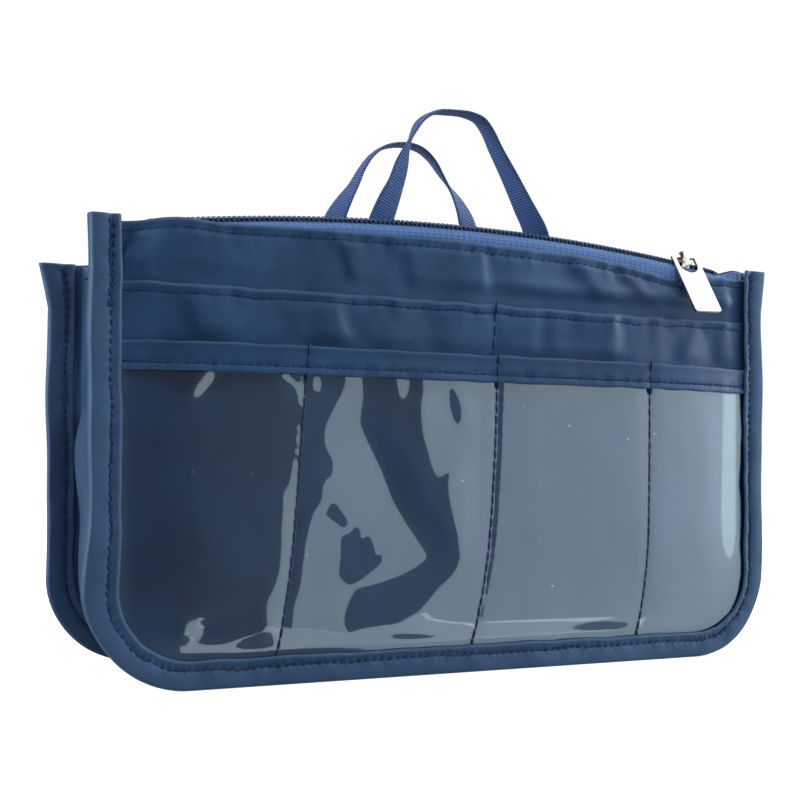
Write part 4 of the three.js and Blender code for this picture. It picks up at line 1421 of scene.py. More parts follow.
    def trim(self) -> Thing:
        """The band folded over the film's top edge."""
        shape = self.shape
        reach = shape.half - shape.binding_width + 0.6
        foot = shape.clear_height - shape.trim_height
        columns = np.linspace(-reach, reach, 236)
        front = [(z, 0.0) for z in np.linspace(foot, shape.clear_height - 0.5, 12)]
        rows = np.array([*front, (shape.clear_height, 0.35), (shape.clear_height, 1.1)])
        x = np.broadcast_to(columns, (len(rows), len(columns)))
        z = rows[:, :1] + 0.18 * self.fine.at(x, 0.0 * x)
        y = self.trim_face(x, np.minimum(z, shape.clear_height)) + rows[:, 1:]
        near = spots(x, y, z)
        far = near + np.array([0.0, 0.5, 0.0])
        far[-3:, :, 2] -= 0.45
        return self.cloth(closed_sheet("clear_pocket_band", near, far, spots(x, z)), "clear_pocket_trim")

    def squash_with_slider(self, piece: Thing) -> None:
        """Give the piece a mesh of its own."""
        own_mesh(piece)

    def stitching(self) -> None:
        """Stitches of the hems, the trim and the vertical seams."""
        shape = self.shape
        reach = shape.half - shape.binding_width - 0.5
        foot = shape.clear_height - shape.trim_height
        across = np.arange(-reach, reach, 1.0)
        front = (0.0, -1.0, 0.0)

        def on(face: Surface, z: Grid) -> tuple[Grid, tuple]:
            """A line of points just off a face, and its way up."""
            return spots(across, face(across, z) - 0.15, z), front

        fold_z = shape.front_fold(across) - HEM_DROP
        top = self.sew("fold_stitches", [on(self.upper_face, fold_z)], size=1.3, slant=0.2)
        self.squash_with_slider(top)
        hem_z = self.slip_top(across) - HEM_DROP
        trim_z = foot + HEM_DROP + 0.0 * across
        lines = [on(self.slip_face, hem_z), on(self.trim_face, trim_z)]
        self.sew("pocket_hem_stitches", lines, size=1.3, slant=0.2)
        uprights = []
        for seam in self.seams:
            parts = [
                (np.arange(shape.binding_width, foot, 1.0), self.film_face),
                (np.arange(foot, shape.clear_height, 1.0), self.trim_face),
                (np.arange(shape.clear_height, seam[3], 1.0), self.slip_face),
            ]
            for z, face in parts:
                if len(z) > 1:
                    x = self.seam_x(seam, z)
                    uprights.append((spots(x, face(x, z), z), front))
        self.sew("pocket_seam_stitches", uprights, 4.2, size=1.7, slant=0.05, wander=0.04)


@dataclass
class RearStack(SewnPart):
    """Divider, rear panel and rear pocket."""

    divider_folds = (
        Fold(-70, 120, 80, 60, 9, 1),
        Fold(-10, 110, 100, 60, 10, 1),
        Fold(62, 118, 84, 60, 9, 1.1),
    )
    rear_folds = (
        Fold(-92, 138, 60, 40, 5, 1.6, 2),
        Fold(-52, 120, 84, 60, 9, 1.2),
        Fold(8, 124, 96, 56, 10, 1.3),
        Fold(58, 122, 100, 60, 8, 1.2),
        Fold(98, 138, 118, 40, 5, 1.6, 2),
    )
    pocket_seams = (-46.0, 46.0)

    def __post_init__(self) -> None:
        """Pick the waves."""
        self.broad = Ripple(31, 40.0)

    def divider_face(self, x: Grid, z: Grid) -> Grid:
        """Y of the divider's front face, in mm."""
        free = self.shape.side_share(x, 20.0) * self.shape.foot_share(z, 14.0)
        calm = 1.0 - self.shape.mouth_rise(x, z)
        wave = lifted(self.divider_folds, x, z) + 0.4 * self.broad.at(x, z)
        return self.shape.divider_front + self.shape.divider_swell(x, z) + free * calm * wave

    def rear_offset(self, x: Grid, z: Grid) -> Grid:
        """Forward offset that the rear panel and its pocket share, in mm."""
        free = self.shape.side_share(x, 20.0) * self.shape.foot_share(z, 14.0)
        held = sum(bump(x - seam, 3.0) for seam in self.pocket_seams)
        held = held * smooth((self.shape.rear_pocket_height + 3.0 - z) / 6.0)
        rear = self.shape.rear_swell(x, z)
        puff = 3.2 * self.shape.side_share(x, 45.0) * self.shape.foot_share(z, 30.0)
        puff = puff * smooth((126.0 - z) / 60.0)
        wave = lifted(self.rear_folds, x, z) + 0.5 * self.broad.at(x, z + 300.0)
        return rear - puff + free * (wave + held)

    def rear_face(self, x: Grid, z: Grid) -> Grid:
        """Y of the rear panel's front face, in mm."""
        hem = 0.4 * bump(self.shape.rear_height - z - 1.0, 1.2)
        return self.shape.rear_panel_front - self.rear_offset(x, z) - hem

    def pocket_outside(self, x: Grid, z: Grid) -> Grid:
        """Y of the rear pocket's outer face, in mm."""
        hem = 0.5 * bump(self.shape.rear_pocket_height - z - 1.0, 1.2)
        return self.shape.rear_pocket_front - self.rear_offset(x, z) + self.shape.cloth + hem

    def build(self) -> None:
        """Make the pieces and their stitching."""
        shape = self.shape
        pocket_top = level(shape.rear_pocket_height)
        self.panel("divider", "divider_panel", self.divider_face, shape.fold_height, 2.4)
        self.panel("rear_wall", "rear_panel", self.rear_face, level(shape.rear_height), 1.9)
        self.panel("rear_pocket", "rear_slip_pocket", self.pocket_outside, pocket_top, 1.9,
                   rearward=False)
        self.stitching()

    def stitching(self) -> None:
        """Stitches of the rear hems and the rear pocket's seams, and of the divider's top."""
        shape = self.shape
        reach = shape.half - shape.binding_width - 0.5
        across = np.arange(-reach, reach, 1.0)
        rear_z = shape.rear_height - HEM_DROP + 0.0 * across
        pocket_z = shape.rear_pocket_height - HEM_DROP + 0.0 * across
        fold_z = shape.fold_height(across) - HEM_DROP
        front, rear = (0.0, -1.0, 0.0), (0.0, 1.0, 0.0)
        rear_y = self.rear_face(across, rear_z)
        divider_y = self.divider_face(across, fold_z) + shape.cloth
        lines = [
            (spots(across, rear_y + shape.cloth, rear_z), rear),
            (spots(across, rear_y, rear_z), front),
            (spots(across, self.pocket_outside(across, pocket_z), pocket_z), rear),
            (spots(across, divider_y, fold_z), rear),
        ]
        z = np.arange(shape.binding_width, shape.rear_pocket_height, 1.0)
        for seam in self.pocket_seams:
            x = seam + 0.0 * z
            lines.append((spots(x, self.pocket_outside(x, z), z), rear))
        self.sew("rear_stitches", lines, slant=0.16)


@dataclass
class BoundSeam(SewnPart):
    """One bound seam: a tape folded over the edges of the layers; face is the way it looks."""

    face: Face
    stitch_inset: float = 7.2
    doubled_from: float = 118.0

    def __post_init__(self) -> None:
        """Pick this seam's planes and waves."""
        front = self.face is Face.FRONT
        self.name = "front_seam" if front else "rear_seam"
        self.near = self.shape.front_plane if front else self.shape.rear_binding_front
        self.far = self.shape.front_binding_rear if front else self.shape.rear_plane
        self.height = self.shape.front_height if front else self.shape.rear_height
        self.path = SeamPath(self.shape, self.height).stations()
        self.edge_wave = Ripple(41 if front else 42, 34.0)
        self.face_wave = Ripple(43 if front else 44, 22.0)
        self.middle = 0.5 * (self.near + self.far)
        self.reach = 0.5 * (self.far - self.near)
        lean = 0.5 * self.edge_wave.at(self.path.s, 200.0 + 0.0 * self.path.s)
        self.lean = lean * smooth((self.path.z - 30.0) / 60.0)

    def outline(self, s: Grid, inset: Grid, side: float) -> tuple[Grid, Grid]:
        """A place on the seam in the plane of the outline.

        Args:
            s: number of each station.
            inset: distance in from the outline, in mm.
            side: -1 for the front face and 1 for the rear face.

        Returns:
            x and z, in mm.
        """
        p = self.path
        outward = 0.35 * self.edge_wave.at(p.s, 0.0 * p.s)[s]
        reach = inset / self.shape.binding_width
        inner = 0.2 * self.face_wave.at(p.s[s], 40.0 * side) * reach
        low = 0.0
        if self.face is Face.FRONT:
            low = 2.4 * bump(p.z - 34.0, 17.0)[s] * (p.x[s] < 0.0) * (1.0 - 0.7 * reach)
        flare = 1.5 * clamp01((p.z - self.height + 17.0) / 17.0)[s] * (1.0 - reach)
        flare = flare * np.where(p.x[s] > 0.0, 1.0, 0.0 if self.face is Face.FRONT else 2.6)
        depth = inset - np.where(p.z[s] > 2.0, outward * (1.0 - reach) + low + flare, 0.0) + inner
        return p.x[s] + p.nx[s] * depth, p.z[s] + p.nz[s] * np.maximum(depth, 0.0)

    def raised(self, s: Grid, inset: Grid, side: float) -> Grid:
        """How far the tape stands off its flat face, in mm."""
        p = self.path
        roll = 0.65 * bump(inset - 9.6, 0.9) * smooth((10.9 - inset) / 1.0)
        groove = -0.5 * bump(inset - self.stitch_inset, 0.8)
        rate = TURN / STITCH_PITCH
        pucker = 0.2 * np.sin(rate * (p.s[s] + 0.5 * inset)) * bump(inset - self.stitch_inset, 1.7)
        pucker = pucker + 0.16 * np.sin(0.37 * rate * p.s[s]) * bump(inset - self.stitch_inset, 2.6)
        soft = 0.35 * bump(inset - 3.8, 2.6)
        wave = 0.22 * self.face_wave.at(p.s[s], 9.0 * side) * bump(inset - 4.0, 4.0)
        doubled = 0.3 * smooth((p.z[s] - self.doubled_from) / 0.8) * smooth((inset - 0.6) / 1.0)
        return roll + groove + pucker + soft + wave + doubled

    def tape(self) -> Thing:
        """The folded tape."""
        flat = np.linspace(self.shape.binding_width, 1.2, 20)
        turn = np.linspace(-0.5 * np.pi, 0.5 * np.pi, 9)[1:-1]
        insets = np.concatenate([flat, 1.2 - 1.2 * np.cos(turn), flat[::-1]])
        sides = np.concatenate([-np.ones(len(flat)), np.sin(turn), np.ones(len(flat))])
        s, inset = np.meshgrid(np.arange(len(self.path.s)), insets, indexing="ij")
        side = np.broadcast_to(sides, s.shape)
        x, z = self.outline(s, inset, side)
        face = np.sign(side) * self.raised(s, inset, np.sign(side)) * np.abs(side) ** 4
        outer = spots(x, self.middle + self.reach * side + face + self.lean[s], z)
        away = normals_of(outer)
        off = outer[..., 1] - self.middle
        inwards = np.sign(np.abs(off).mean() - np.abs(off + away[..., 1]).mean())
        inner = outer + away * inwards * 0.55
        uv = spots(self.path.s[s], inset * np.sign(side))
        node = "front_binding" if self.face is Face.FRONT else "rear_binding"
        piece = closed_sheet(f"{self.name}_tape", outer, inner, uv)
        return finish_piece(piece, self.wardrobe.binding, [node])

    def stitch_lines(self) -> list[tuple[Grid, tuple]]:
        """Lines of the stitches on both faces, doubled at the upper ends, and their ways up."""
        s = np.arange(len(self.path.s))
        below = self.path.z < self.height - 2.5
        tops = below & (self.path.z > self.height - 30.0)
        lines = []
        for side in (-1.0, 1.0):
            for shift, kept in ((0.0, below), (0.7, tops), (-0.5, tops)):
                wave = self.face_wave.at(self.path.s, 90.0 + 20.0 * shift)
                inset = self.stitch_inset + shift + 0.25 * wave
                x, z = self.outline(s, inset, side)
                off = self.reach + self.raised(s, inset, side) + 0.15
                line = spots(x, self.middle + side * off + self.lean, z)
                parts = [kept] if kept is below else [kept & (x < 0.0), kept & (x > 0.0)]
                lines += [(line[part], (0.0, side, 0.0)) for part in parts]
        return lines

    def build(self) -> None:
        """Make the tape and its stitches."""
        self.tape()
        self.sew(f"{self.name}_stitches", self.stitch_lines(), size=1.2, slant=0.22, wander=0.1)


@dataclass
class Gusset(SewnPart):
    """The strip between the two seams, with its turned-in tops."""

    low_inset: float = 7.5
    top_inset: float = 30.0
    fold_start: float = 85.0
    turn: float = 1.2
    hem_height: float = 9.0
    step: float = 1.8

    def __post_init__(self) -> None:
        """Work out where the strip starts and stops."""
        self.start = self.shape.gusset_front + 0.5 * self.shape.cloth
        self.stop = self.shape.gusset_rear + 0.5 * self.shape.cloth
        self.path = SeamPath(self.shape, self.shape.rear_height, self.step).stations()
        self.inward = spots(self.path.nx, 0.0, self.path.nz)[:, None, :]
        self.wave = Ripple(51, 17.0, 3.4)
        self.broad = Ripple(52, 60.0)

    def top(self, y: Grid) -> Grid:
        """Height of the strip's open edge, which slopes from the front to the rear."""
        front = float(self.shape.fold_height(np.array(self.shape.half)))
        share = clamp01((y - self.start) / (self.stop - self.start))
        return front + (self.shape.rear_height - front) * share

    def inset(self, share: Grid, z: Grid, s: Grid) -> Grid:
        """How far the strip lies in from the outline, at a share of the way between the seams."""
        climb = smooth((z - self.fold_start) / (self.shape.rear_height - self.fold_start))
        middle = self.low_inset + (self.top_inset - self.low_inset) * climb
        seam = self.shape.binding_width + self.shape.ease + 1.5 * self.turn
        belly = np.sin(np.pi * share)
        sharp = belly ** (2.0 - 0.9 * climb)
        y = share * 78.0
        wave = (1.1 + 1.2 * climb) * self.wave.at(y, s) + 0.8 * self.broad.at(y, s)
        return seam + (middle - seam) * sharp + wave * smooth(belly * 1.6)

    def profile(self) -> tuple[Grid, Grid]:
        """Places across the strip: a share between the seams, and how far into a seam."""
        across = np.linspace(0.0, 1.0, 46)
        fins = np.array([1.0, 0.5, 0.15])
        shares = np.concatenate([0.0 * fins, across, 1.0 + 0.0 * fins])
        into = np.concatenate([fins, 0.0 * across, fins[::-1]])
        return shares, into

    def grid(self, keep: Grid, offset: float) -> tuple[Grid, Grid]:
        """Points over part of the strip.

        Args:
            keep: numbers of the stations that it covers.
            offset: distance inwards from the strip's middle surface, in mm.

        Returns:
            The points, rows by columns by 3, and their places on the cloth.
        """
        shares, into = self.profile()
        p = self.path
        station = np.broadcast_to(keep[:, None], (len(keep), len(shares)))
        share = np.broadcast_to(shares, station.shape)
        fin = np.broadcast_to(into, station.shape)
        deep = self.inset(share, p.z[station], p.s[station])
        fin_end = self.shape.binding_width + self.shape.ease
        inset = np.where(fin > 0.0, fin_end * (1.0 - fin) + self.shape.seam_tuck * fin, deep)
        inset = inset + offset * (fin <= 0.0)
        begin, end = self.start + 2.0 * self.turn, self.stop - 2.0 * self.turn
        y = np.where(fin > 0.0, np.where(share < 0.5, self.start, self.stop),
                     begin + (end - begin) * share)
        rise = clamp01((p.z[station] - self.shape.corner_radius)
                       / (self.shape.rear_height - self.shape.corner_radius))
        z = p.z[station] + p.nz[station] * inset - (self.shape.rear_height - self.top(y)) * rise
        x = p.x[station] + p.nx[station] * inset
        return spots(x, y, z), spots(p.s[station], y)

    def sheet(self, name: str, keep: Grid, offset: float) -> Thing:
        """A cloth sheet over part of the strip."""
        near, uv = self.grid(keep, offset)
        away = normals_of(near)
        facing = np.sign((away * self.inward[keep]).sum(axis=-1, keepdims=True))
        facing = np.where(facing == 0.0, 1.0, facing)
        shares, into = self.profile()
        fins = np.broadcast_to((into > 0.0)[None, :, None], away.shape[:2] + (1,))
        side = np.broadcast_to(np.where(shares < 0.5, 1.0, -1.0)[None, :, None], fins.shape)
        flat = np.concatenate([0.0 * side, side, 0.0 * side], axis=-1)
        move = np.where(fins, flat, away * facing)
        return closed_sheet(name, near, near + move * self.shape.cloth, uv)

    def build(self) -> None:
        """Make the strip, its hems and their stitches."""
        everything = np.arange(len(self.path.s))
        self.cloth(self.sheet("gusset_strip", everything, -0.3), "gusset")
        hem_count = int(self.hem_height / self.step) + 1
        ends = {"left": everything[:hem_count], "right": everything[-hem_count:]}
        for side, keep in ends.items():
            self.cloth(self.hem(f"gusset_hem_{side}_piece", keep), f"gusset_hem_{side}")
        self.stitching(ends)

    def hem(self, name: str, keep: Grid) -> Thing:
        """The turned-in top of the strip on one side."""
        near, uv = (part[:, 5:-5] for part in self.grid(keep, 0.65))
        return closed_sheet(name, near, near + self.inward[keep] * self.shape.cloth, uv)

    def stitching(self, ends: dict[str, Grid]) -> None:
        """Stitches through the hems, inside and outside."""
        lines = []
        for keep in ends.values():
            row = 3 if keep[0] == 0 else -4
            inward = float(self.path.nx[keep[row]])
            outside = self.grid(keep, -0.3)[0][row, 5:-5]
            inside = self.grid(keep, 1.25)[0][row, 5:-5]
            lines += [(outside, (-inward, 0.0, 0.0)), (inside, (inward, 0.0, 0.0))]
        self.sew("gusset_stitches", lines, slant=0.16)


@dataclass
class Zip(SewnPart):
    """Tapes, coil, stops, slider and pull."""

    pitch: float = 1.85
    half_length: float = 118.0
    teeth_base: float = 0.75
    coil_height: float = 1.4
    tape_end: float = 131.0
    hidden_drop: float = 15.0

    def tape(self, side: int) -> Thing:
        """One tape, flat beside the coil and then bent down behind its panel."""
        shape = self.shape
        along = np.linspace(-self.tape_end, self.tape_end, 220)
        across = np.array([0.45, 1.2, 2.3, 3.4, shape.tape_bend - 0.3])
        flat = shape.zip_point(along[:, None], side * across[None, :], 0.0)
        edge = flat[:, -1]
        foot_y = (shape.rear_tape_y - 0.3) if side > 0 else (shape.front_tape_y + 0.95)
        reach = shape.tape_drop if side > 0 else self.hidden_drop
        falls = []
        for drop in np.linspace(0.12, 1.0, 7):
            y = edge[:, 1] + (foot_y + side * 0.15 - edge[:, 1]) * smooth(np.array(drop * 2.2))
            z = edge[:, 2] + (shape.zip_height(edge[:, 0]) - reach - edge[:, 2]) * drop
            falls.append(spots(edge[:, 0], y, z))
        near = np.concatenate([flat, np.stack(falls, axis=1)], axis=1)
        pinch = (1.0 - shape.mouth_share(near[..., 0]))
        seam_y = shape.panel_front + shape.cloth + 0.125
        half = np.abs(near[..., 1] - shape.zip_y)
        fold = np.maximum(shape.tape_bend - half, 0.0) * np.array([1.0] * len(across) + [0.0] * 7)
        near[..., 2] += pinch * (0.55 * fold + np.where(along < 0.0, -1.2, 1.2)[:, None])
        near[..., 1] += pinch * (seam_y + 0.11 * side - near[..., 1])
        lengths = np.linalg.norm(np.diff(near, axis=1), axis=2).cumsum(axis=1)
        v = np.concatenate([np.zeros((len(along), 1)), lengths], axis=1)
        uv = spots(along[:, None], v * side)
        away = normals_of(near)
        away *= np.sign(away[:, 2:3, 2:3]) * np.ones_like(away[..., :1])
        ridge = np.array([0.5, 0.5, 0.3] + [0.0] * (near.shape[1] - 3)) * (1.0 - pinch)
        far = near + away * (0.42 - 0.3 * pinch + ridge)[..., None]
        name = "zip_tape_front" if side < 0 else "zip_tape_rear"
        piece = closed_sheet(f"{name}_cloth", near, far, uv)
        return finish_piece(piece, self.wardrobe.tape, [name])

    def row(self, side: int) -> Thing:
        """One row of the coil, its heads between those of the other row."""
        shape = self.shape
        reach = self.half_length - 0.5 * self.pitch
        along = np.arange(-reach, reach, 0.5 * self.pitch) + 0.25 * side * self.pitch
        line = shape.zip_point(along, 0.0, self.teeth_base + 0.5 * self.coil_height)
        turn = coil_shape(side)
        tree = RepeatedShape(f"coil_row_{side}", self.wardrobe.teeth, turn)
        name = "front" if side < 0 else "rear"
        coil = tree.along(f"zip_coil_{name}", [(line, shape.zip_up)], self.pitch, wander=0.02)
        bpy.data.objects.remove(turn)
        return finish_piece(coil, self.wardrobe.teeth, [f"zip_teeth_{name}"])

    def build(self) -> None:
        """Make every piece of the zip."""
        for side in (-1, 1):
            self.tape(side)
            self.row(side)
        self.coil_stitching()
        metal, dark_stops = self.wardrobe.metal, self.wardrobe.dark_stops
        rigid = {
            # The stops are coloured dark navy, not pale gold
            "zip_bottom_stop": (Body.BAG, 0.15, dark_stops),
            "zip_top_stop_front": (Body.BAG, 0.15, dark_stops),
            "zip_top_stop_rear": (Body.BAG, 0.15, dark_stops),
            "slider_body": (Body.SLIDER, 0.22, metal),
            "slider_base": (Body.SLIDER, 0.2, metal),
            "pull_tab": (Body.PULL, 0.22, metal),
        }
        for node, (body, radius, finish) in rigid.items():
            piece = softened_node(node, f"{node}_metal", radius)
            if body is Body.PULL:
                piece.data.transform(self.pull_play())
            finish_piece(piece, finish, [node], body)

    @staticmethod
    def pull_play() -> Matrix:
        """The small turn that the pull's loose eye allows, about its pivot."""
        pivot = Matrix.Translation(Vector((102.512, -33.473, 164.392)) * MM)
        twist = Matrix.Rotation(math.radians(6.0), 4, Vector((0.0085, -0.5985, -0.8012)))
        lift = Matrix.Rotation(math.radians(4.0), 4, Vector((0.9928, 0.0, -0.12)))
        return pivot @ lift @ twist @ pivot.inverted()

    def coil_stitching(self) -> None:
        """Two rows of stitches that hold the coil to each tape."""
        shape = self.shape
        along = np.arange(-self.half_length, self.half_length, 1.0)
        out = self.teeth_base + self.coil_height
        lines = [(shape.zip_point(along, across, out), shape.zip_up)
                 for across in (-1.45, -1.75, 1.45, 1.75)]
        self.sew("coil_stitches", lines, self.pitch, Slot.TEETH, size=0.62, wander=0.15)


@dataclass
class Handle(SewnPart):
    """One webbing handle: a strap sewn inside the bag at both ends.

    Attributes:
        name: name of its CAD node.
        body: the body that its loop rides.
        course: its way from left to right, as x, rise over the hinge line and twist in degrees.
        hinge: height of the hinge line, in mm.
        lean: how far the loop leans to the front, in radians.
        face: Y of the strap's middle at each height below the hinge line.
    """

    name: str
    body: Body
    course: tuple
    hinge: float
    lean: float
    face: Curve
    width: float = 10.0
    thickness: float = 1.2
    step: float = 0.21

    def __post_init__(self) -> None:
        """Find the sewn ends of the course."""
        stops = np.array(self.course)
        self.foot = self.hinge + float(stops[0, 1])
        half = int(np.argmax(stops[:, 1]))
        self.legs = {-1.0: stops[:half + 1, :2], 1.0: stops[:half - 1:-1, :2]}

    def leg_x(self, side: float, z: Grid) -> Grid:
        """Place across the bag of a sewn end at a height below the hinge."""
        leg = self.legs[side]
        return np.interp(z - self.hinge, leg[:, 1], leg[:, 0])

    def centre_line(self) -> tuple[Grid, Grid, Grid]:
        """The strap's middle line and the way that it is wide.

        Returns:
            Points, unit vectors across the strap, and length along it, in mm.
        """
        stops = np.array(self.course)
        chord = np.concatenate([[0.0], np.cumsum(np.hypot(*np.diff(stops[:, :2], axis=0).T))])
        at = np.linspace(0.0, chord[-1], 1100)
        x, rise, turn = (through(list(zip(chord, stops[:, k])), at) for k in range(3))
        free = np.maximum(rise, 0.0)
        y = self.face(self.hinge + np.minimum(rise, 0.0)) - free * math.sin(self.lean)
        z = self.hinge + np.where(rise > 0.0, rise * math.cos(self.lean), rise)
        line = spots(x, y, z)
        ahead = unit(np.gradient(line, axis=0))
        side = np.cross(np.array([0.0, math.cos(self.lean), math.sin(self.lean)]), ahead)
        turn = np.radians(turn)[:, None]
        wide = side * np.cos(turn) + np.cross(ahead, side) * np.sin(turn)
        length = np.concatenate([[0.0], np.cumsum(np.linalg.norm(np.diff(line, axis=0), axis=1))])
        return line, wide, length

    def strap(self) -> Thing:
        """The whole strap, its ribs in the mesh."""
        line, wide, length = self.centre_line()
        s = np.arange(0.0, length[-1], self.step)
        centre, across = (spots(*(np.interp(s, length, part) for part in of.T)) for of in (line, wide))
        ahead = unit(np.gradient(centre, axis=0))
        across = unit(across - (across * ahead).sum(axis=1, keepdims=True) * ahead)
        out = np.cross(across, ahead)
        columns = np.linspace(-1.0, 1.0, 13)
        turns = TURN * s / WebbingCloth.rib_pitch
        rib = 0.09 * np.cos(turns)[:, None]
        thick = 0.5 * self.thickness * np.sqrt(np.maximum(1.0 - columns**8, 0.04))[None, :]
        edge = 0.5 * self.width + 0.1 * np.cos(turns + 1.0)
        sheet = centre[:, None, :] + across[:, None, :] * (edge[:, None] * columns)[..., None]
        lift = (thick + rib * (1.0 - columns**6))[..., None]
        uv = spots(s[:, None], 0.5 * self.width * columns[None, :])
        off = out[:, None, :] * lift
        piece = closed_sheet(f"{self.name}_strap", sheet + off, sheet - off, uv)
        nodes = [self.name, f"{self.name}_end_left", f"{self.name}_end_right"]
        return finish_piece(piece, self.wardrobe.webbing, nodes, None)

    def build(self) -> None:
        """Make the strap and the stitches of its ends."""
        strap = self.strap()
        y = float(self.face(np.array(self.hinge))) * MM
        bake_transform(strap)
        lines = []
        out = 1.0 if self.body is Body.FRONT_LOOP else -1.0
        reach = 0.5 * self.width - 1.3
        bottom, top = self.foot + 2.0, self.hinge - 6.0
        for side in (-1.0, 1.0):
            box = [(bottom, -reach), (bottom, reach), (top, reach), (top, -reach), (bottom, -reach)]
            crosses = [[(bottom, -reach), (top, reach)], [(bottom, reach), (top, -reach)]]
            for corners in [box, *crosses]:
                z, across = np.array(corners).T
                y = self.face(z) + (0.5 * self.thickness + 0.15) * out
                lines.append((spots(self.leg_x(side, z) + across, y, z), (0.0, out, 0.0)))
        self.sew(f"{self.name}_stitches", lines, 2.6, size=0.85)


@dataclass
class Studio:
    """Camera, lights, floor and surroundings."""

    shape: BagShape
    wardrobe: Wardrobe
    lens: float = 56.46
    yaw: float = 24.58
    shift: float = 0.1119
    left: float = -218.5
    ahead: float = 416.3
    eye: float = 68.7

    def camera(self) -> None:
        """The camera at the photograph's place."""
        data = bpy.data.cameras.new("camera")
        data.sensor_width = 36.0
        data.lens = self.lens
        data.shift_y = self.shift
        data.clip_start = 0.01
        data.clip_end = 50.0
        thing = placed("camera", data)
        thing.location = (self.left * MM, (self.shape.front_plane - self.ahead) * MM, self.eye * MM)
        thing.rotation_euler = (math.radians(90.0), 0.0, -math.radians(self.yaw))
        bpy.context.scene.camera = thing

    def softbox(self, name: str, place: tuple, target: tuple, size: tuple, power: float,
                tint: tuple = (1.0, 1.0, 1.0)) -> None:
        """A rectangular light that the camera doesn't see; lengths in metres, power in watts."""
        data = bpy.data.lights.new(name, "AREA")
        data.shape = "RECTANGLE"
        data.size, data.size_y = size
        data.energy = power
        data.color = tint
        thing = placed(name, data)
        thing.location = place
        facing = Vector(target) - Vector(place)
        thing.rotation_euler = facing.to_track_quat("-Z", "Y").to_euler()
        thing.visible_camera = False

    def lights(self) -> None:
        """Softboxes to the front right, below, above, ahead and to both sides."""
        chest, cool = (0.0, -0.045, 0.3), (0.86, 1.0, 1.05)
        self.softbox("front_right_softbox", (1.071, -0.801, 0.3), chest, (1.7, 2.6), 24.0, cool)
        self.softbox("edge_softbox", (1.12, -0.36, 0.3), chest, (0.22, 1.9), 2.0, cool)
        self.softbox("low_softbox", (0.53, -0.94, -0.9), (0.0, -0.045, 0.02), (0.62, 0.36), 1.5, cool)
        self.softbox("key_softbox", (-0.1, -1.15, 1.45), (0.0, 0.0, 0.1), (1.2, 0.8), 9.5,
                     (1.0, 0.94, 0.87))
        self.softbox("top_softbox", (0.45, -0.1, 1.7), (0.2, 0.0, 0.0), (2.2, 2.0), 19.0)
        self.softbox("left_softbox", (-1.3, 0.35, 0.4), (0.0, 0.0, 0.08), (0.5, 0.9), 23.0,
                     (0.9, 0.96, 1.0))
        self.softbox("right_strip", (1.2, -0.12, 0.35), (0.0, 0.0, 0.1), (0.25, 1.0), 6.0)

    def floor(self) -> None:
        """A plain pale floor."""
        corners = np.array([[-1.0, -1.0, 0.0], [1.0, -1.0, 0.0], [1.0, 1.0, 0.0], [-1.0, 1.0, 0.0]])
        plane = mesh_object("floor", 6.0 * corners, np.array([[0, 1, 2, 3]]))
        plane.data.materials.append(self.wardrobe.floor)

    def surroundings(self) -> None:
        """White to the eye, pale to cloth and dim to a mirror."""
        world = bpy.data.worlds.new("studio")
        world.use_nodes = True
        bpy.context.scene.world = world
        world.node_tree.nodes.clear()
        board = NodeBoard(world.node_tree)

        def glow(colour: tuple, strength: float) -> Node:
            """Light of one colour from all round."""
            values = {"Color": (*colour, 1.0), "Strength": strength}
            return board.add("ShaderNodeBackground", values)

        path = board.add("ShaderNodeLightPath")
        lit = board.add("ShaderNodeMixShader", {0: path.outputs["Is Glossy Ray"]})
        board.link(glow((0.85, 0.92, 1.0), 0.5), lit.inputs[1])
        way = board.add("ShaderNodeSeparateXYZ", {0: board.add("ShaderNodeTexCoord")})
        turn = board.math("ARCTAN2", way, board.math("MULTIPLY", way.outputs[1], -1.0))

        def ramp(*values: object) -> Node:
            """Ease a direction, between a start and a stop, from one strength to another."""
            return board.add("ShaderNodeMapRange", dict(enumerate(values)))

        left = ramp(turn, -0.25, 0.05, 0.22, 0.34)
        height = ramp(way.outputs[2], -0.1, 0.15, 0.3, 1.0)
        right = board.math("MULTIPLY", ramp(turn, 0.5, 0.8, 0.0, 0.8), height)
        middle = board.math("ADD", ramp(turn, 0.08, 0.36, 0.0, 0.14), right)
        mirror = glow((0.85, 0.93, 1.0), 0.3)
        board.link(board.math("ADD", left, middle), mirror.inputs["Strength"])
        board.link(mirror, lit.inputs[2])
        seen = board.add("ShaderNodeMixShader", {0: path.outputs["Is Camera Ray"]})
        board.link(lit, seen.inputs[1])
        board.link(glow((1.0, 1.0, 1.0), 1.05), seen.inputs[2])
        out = board.add("ShaderNodeOutputWorld")
        board.link(seen, out.inputs[0])

    def build(self) -> None:
        """Set up the whole studio."""
        bpy.context.scene.view_settings.view_transform = "Standard"
        self.camera()
        self.lights()
        self.floor()
        self.surroundings()


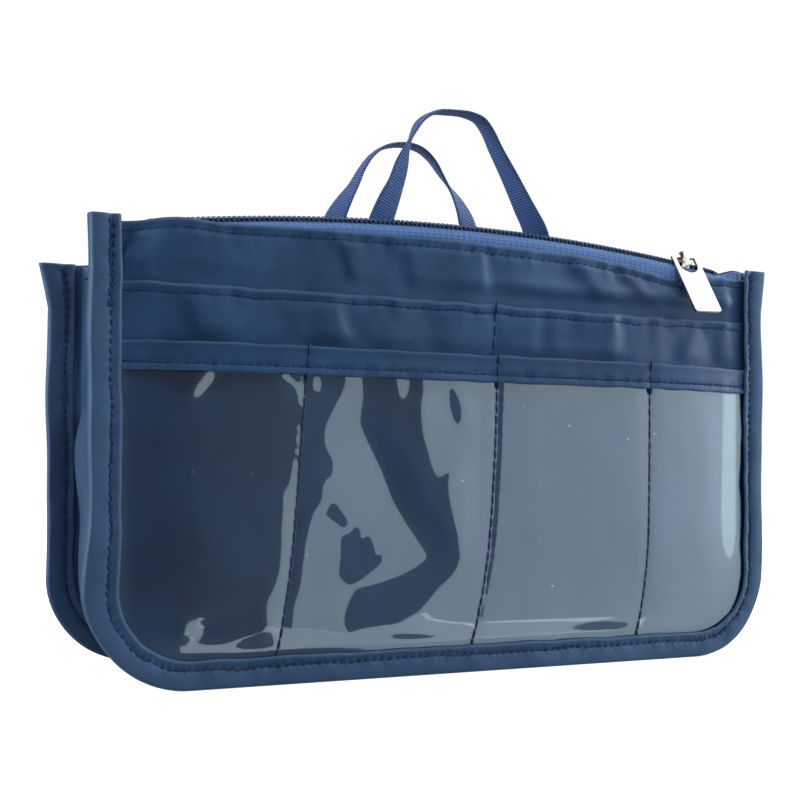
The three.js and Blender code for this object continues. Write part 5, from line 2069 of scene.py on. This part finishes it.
# Each handle's way from left to right: x, rise over the hinge line, and twist in degrees
FRONT_COURSE = (
    (-42.2, -31.85, 0), (-35, -14, 0), (-29.8, 0, 6), (-27.6, 5.9, 15),
    (-24.9, 12.6, 30), (-22.3, 21.3, 40), (-20.3, 27.8, 62), (-18.6, 32.4, 78),
    (-15.6, 37.6, 88), (-11, 40.8, 90), (-3, 42, 90), (4.5, 41.9, 90),
    (9.3, 40.4, 90), (12.6, 37, 89), (16.6, 30.8, 86), (23.6, 20.7, 78),
    (30.4, 10.3, 66), (36.2, 1.2, 46), (38, -4, 14), (39.2, -9, 0),
    (42.2, -31.85, 0),
)
REAR_COURSE = (
    (-41.1, -20.25, 0), (-36.4, -8, 0), (-33.6, 0, 0), (-32, 8, -14),
    (-28.6, 23.7, -56), (-25.8, 29.4, -70), (-22.4, 35.2, -84), (-18.3, 43.6, -95),
    (-15, 48.2, -97), (-11.4, 51.2, -97), (-4.4, 53.6, -96), (1.5, 53.9, -95),
    (7, 52.6, -90), (12.3, 49, -84), (17.3, 43.3, -76), (21.9, 38.2, -64),
    (26.8, 32.2, -42), (30.8, 25.3, -22), (34.4, 10, -5), (36, 0, 0),
    (41.1, -20.25, 0),
)


def main() -> None:
    """Build the bag and its studio in order."""
    logging.basicConfig(level=logging.INFO, format="%(name)s: %(message)s", stream=sys.stdout)
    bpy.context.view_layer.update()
    shape = BagShape()
    wardrobe = Wardrobe()
    Studio(shape, wardrobe).build()
    thread = thread_shape()
    stitches = RepeatedShape("stitches_along_lines", wardrobe.thread, thread)
    FrontStack(shape, wardrobe, stitches).build()
    rear = RearStack(shape, wardrobe, stitches)
    rear.build()
    for face in Face:
        BoundSeam(shape, wardrobe, stitches, face).build()
    Gusset(shape, wardrobe, stitches).build()
    Zip(shape, wardrobe, stitches).build()
    front_y = shape.rear_tape_y + 2.0 * shape.ease + shape.cloth + 0.6
    Handle(shape, wardrobe, stitches, "front_handle", Body.FRONT_LOOP, FRONT_COURSE,
           169.8, math.radians(6.5), level(front_y)).build()

    def behind(z: Grid) -> Grid:
        """Y of the rear handle's middle as it lies on the rear panel, in mm."""
        x = np.full(np.shape(z), 33.0)
        return rear.rear_face(x, np.minimum(z, shape.rear_height)) - shape.ease - 0.6

    Handle(shape, wardrobe, stitches, "rear_handle", Body.REAR_LOOP, REAR_COURSE,
           158.2, math.radians(10.0), behind).build()
    bpy.data.objects.remove(thread)


if __name__ == "__main__":
    main()
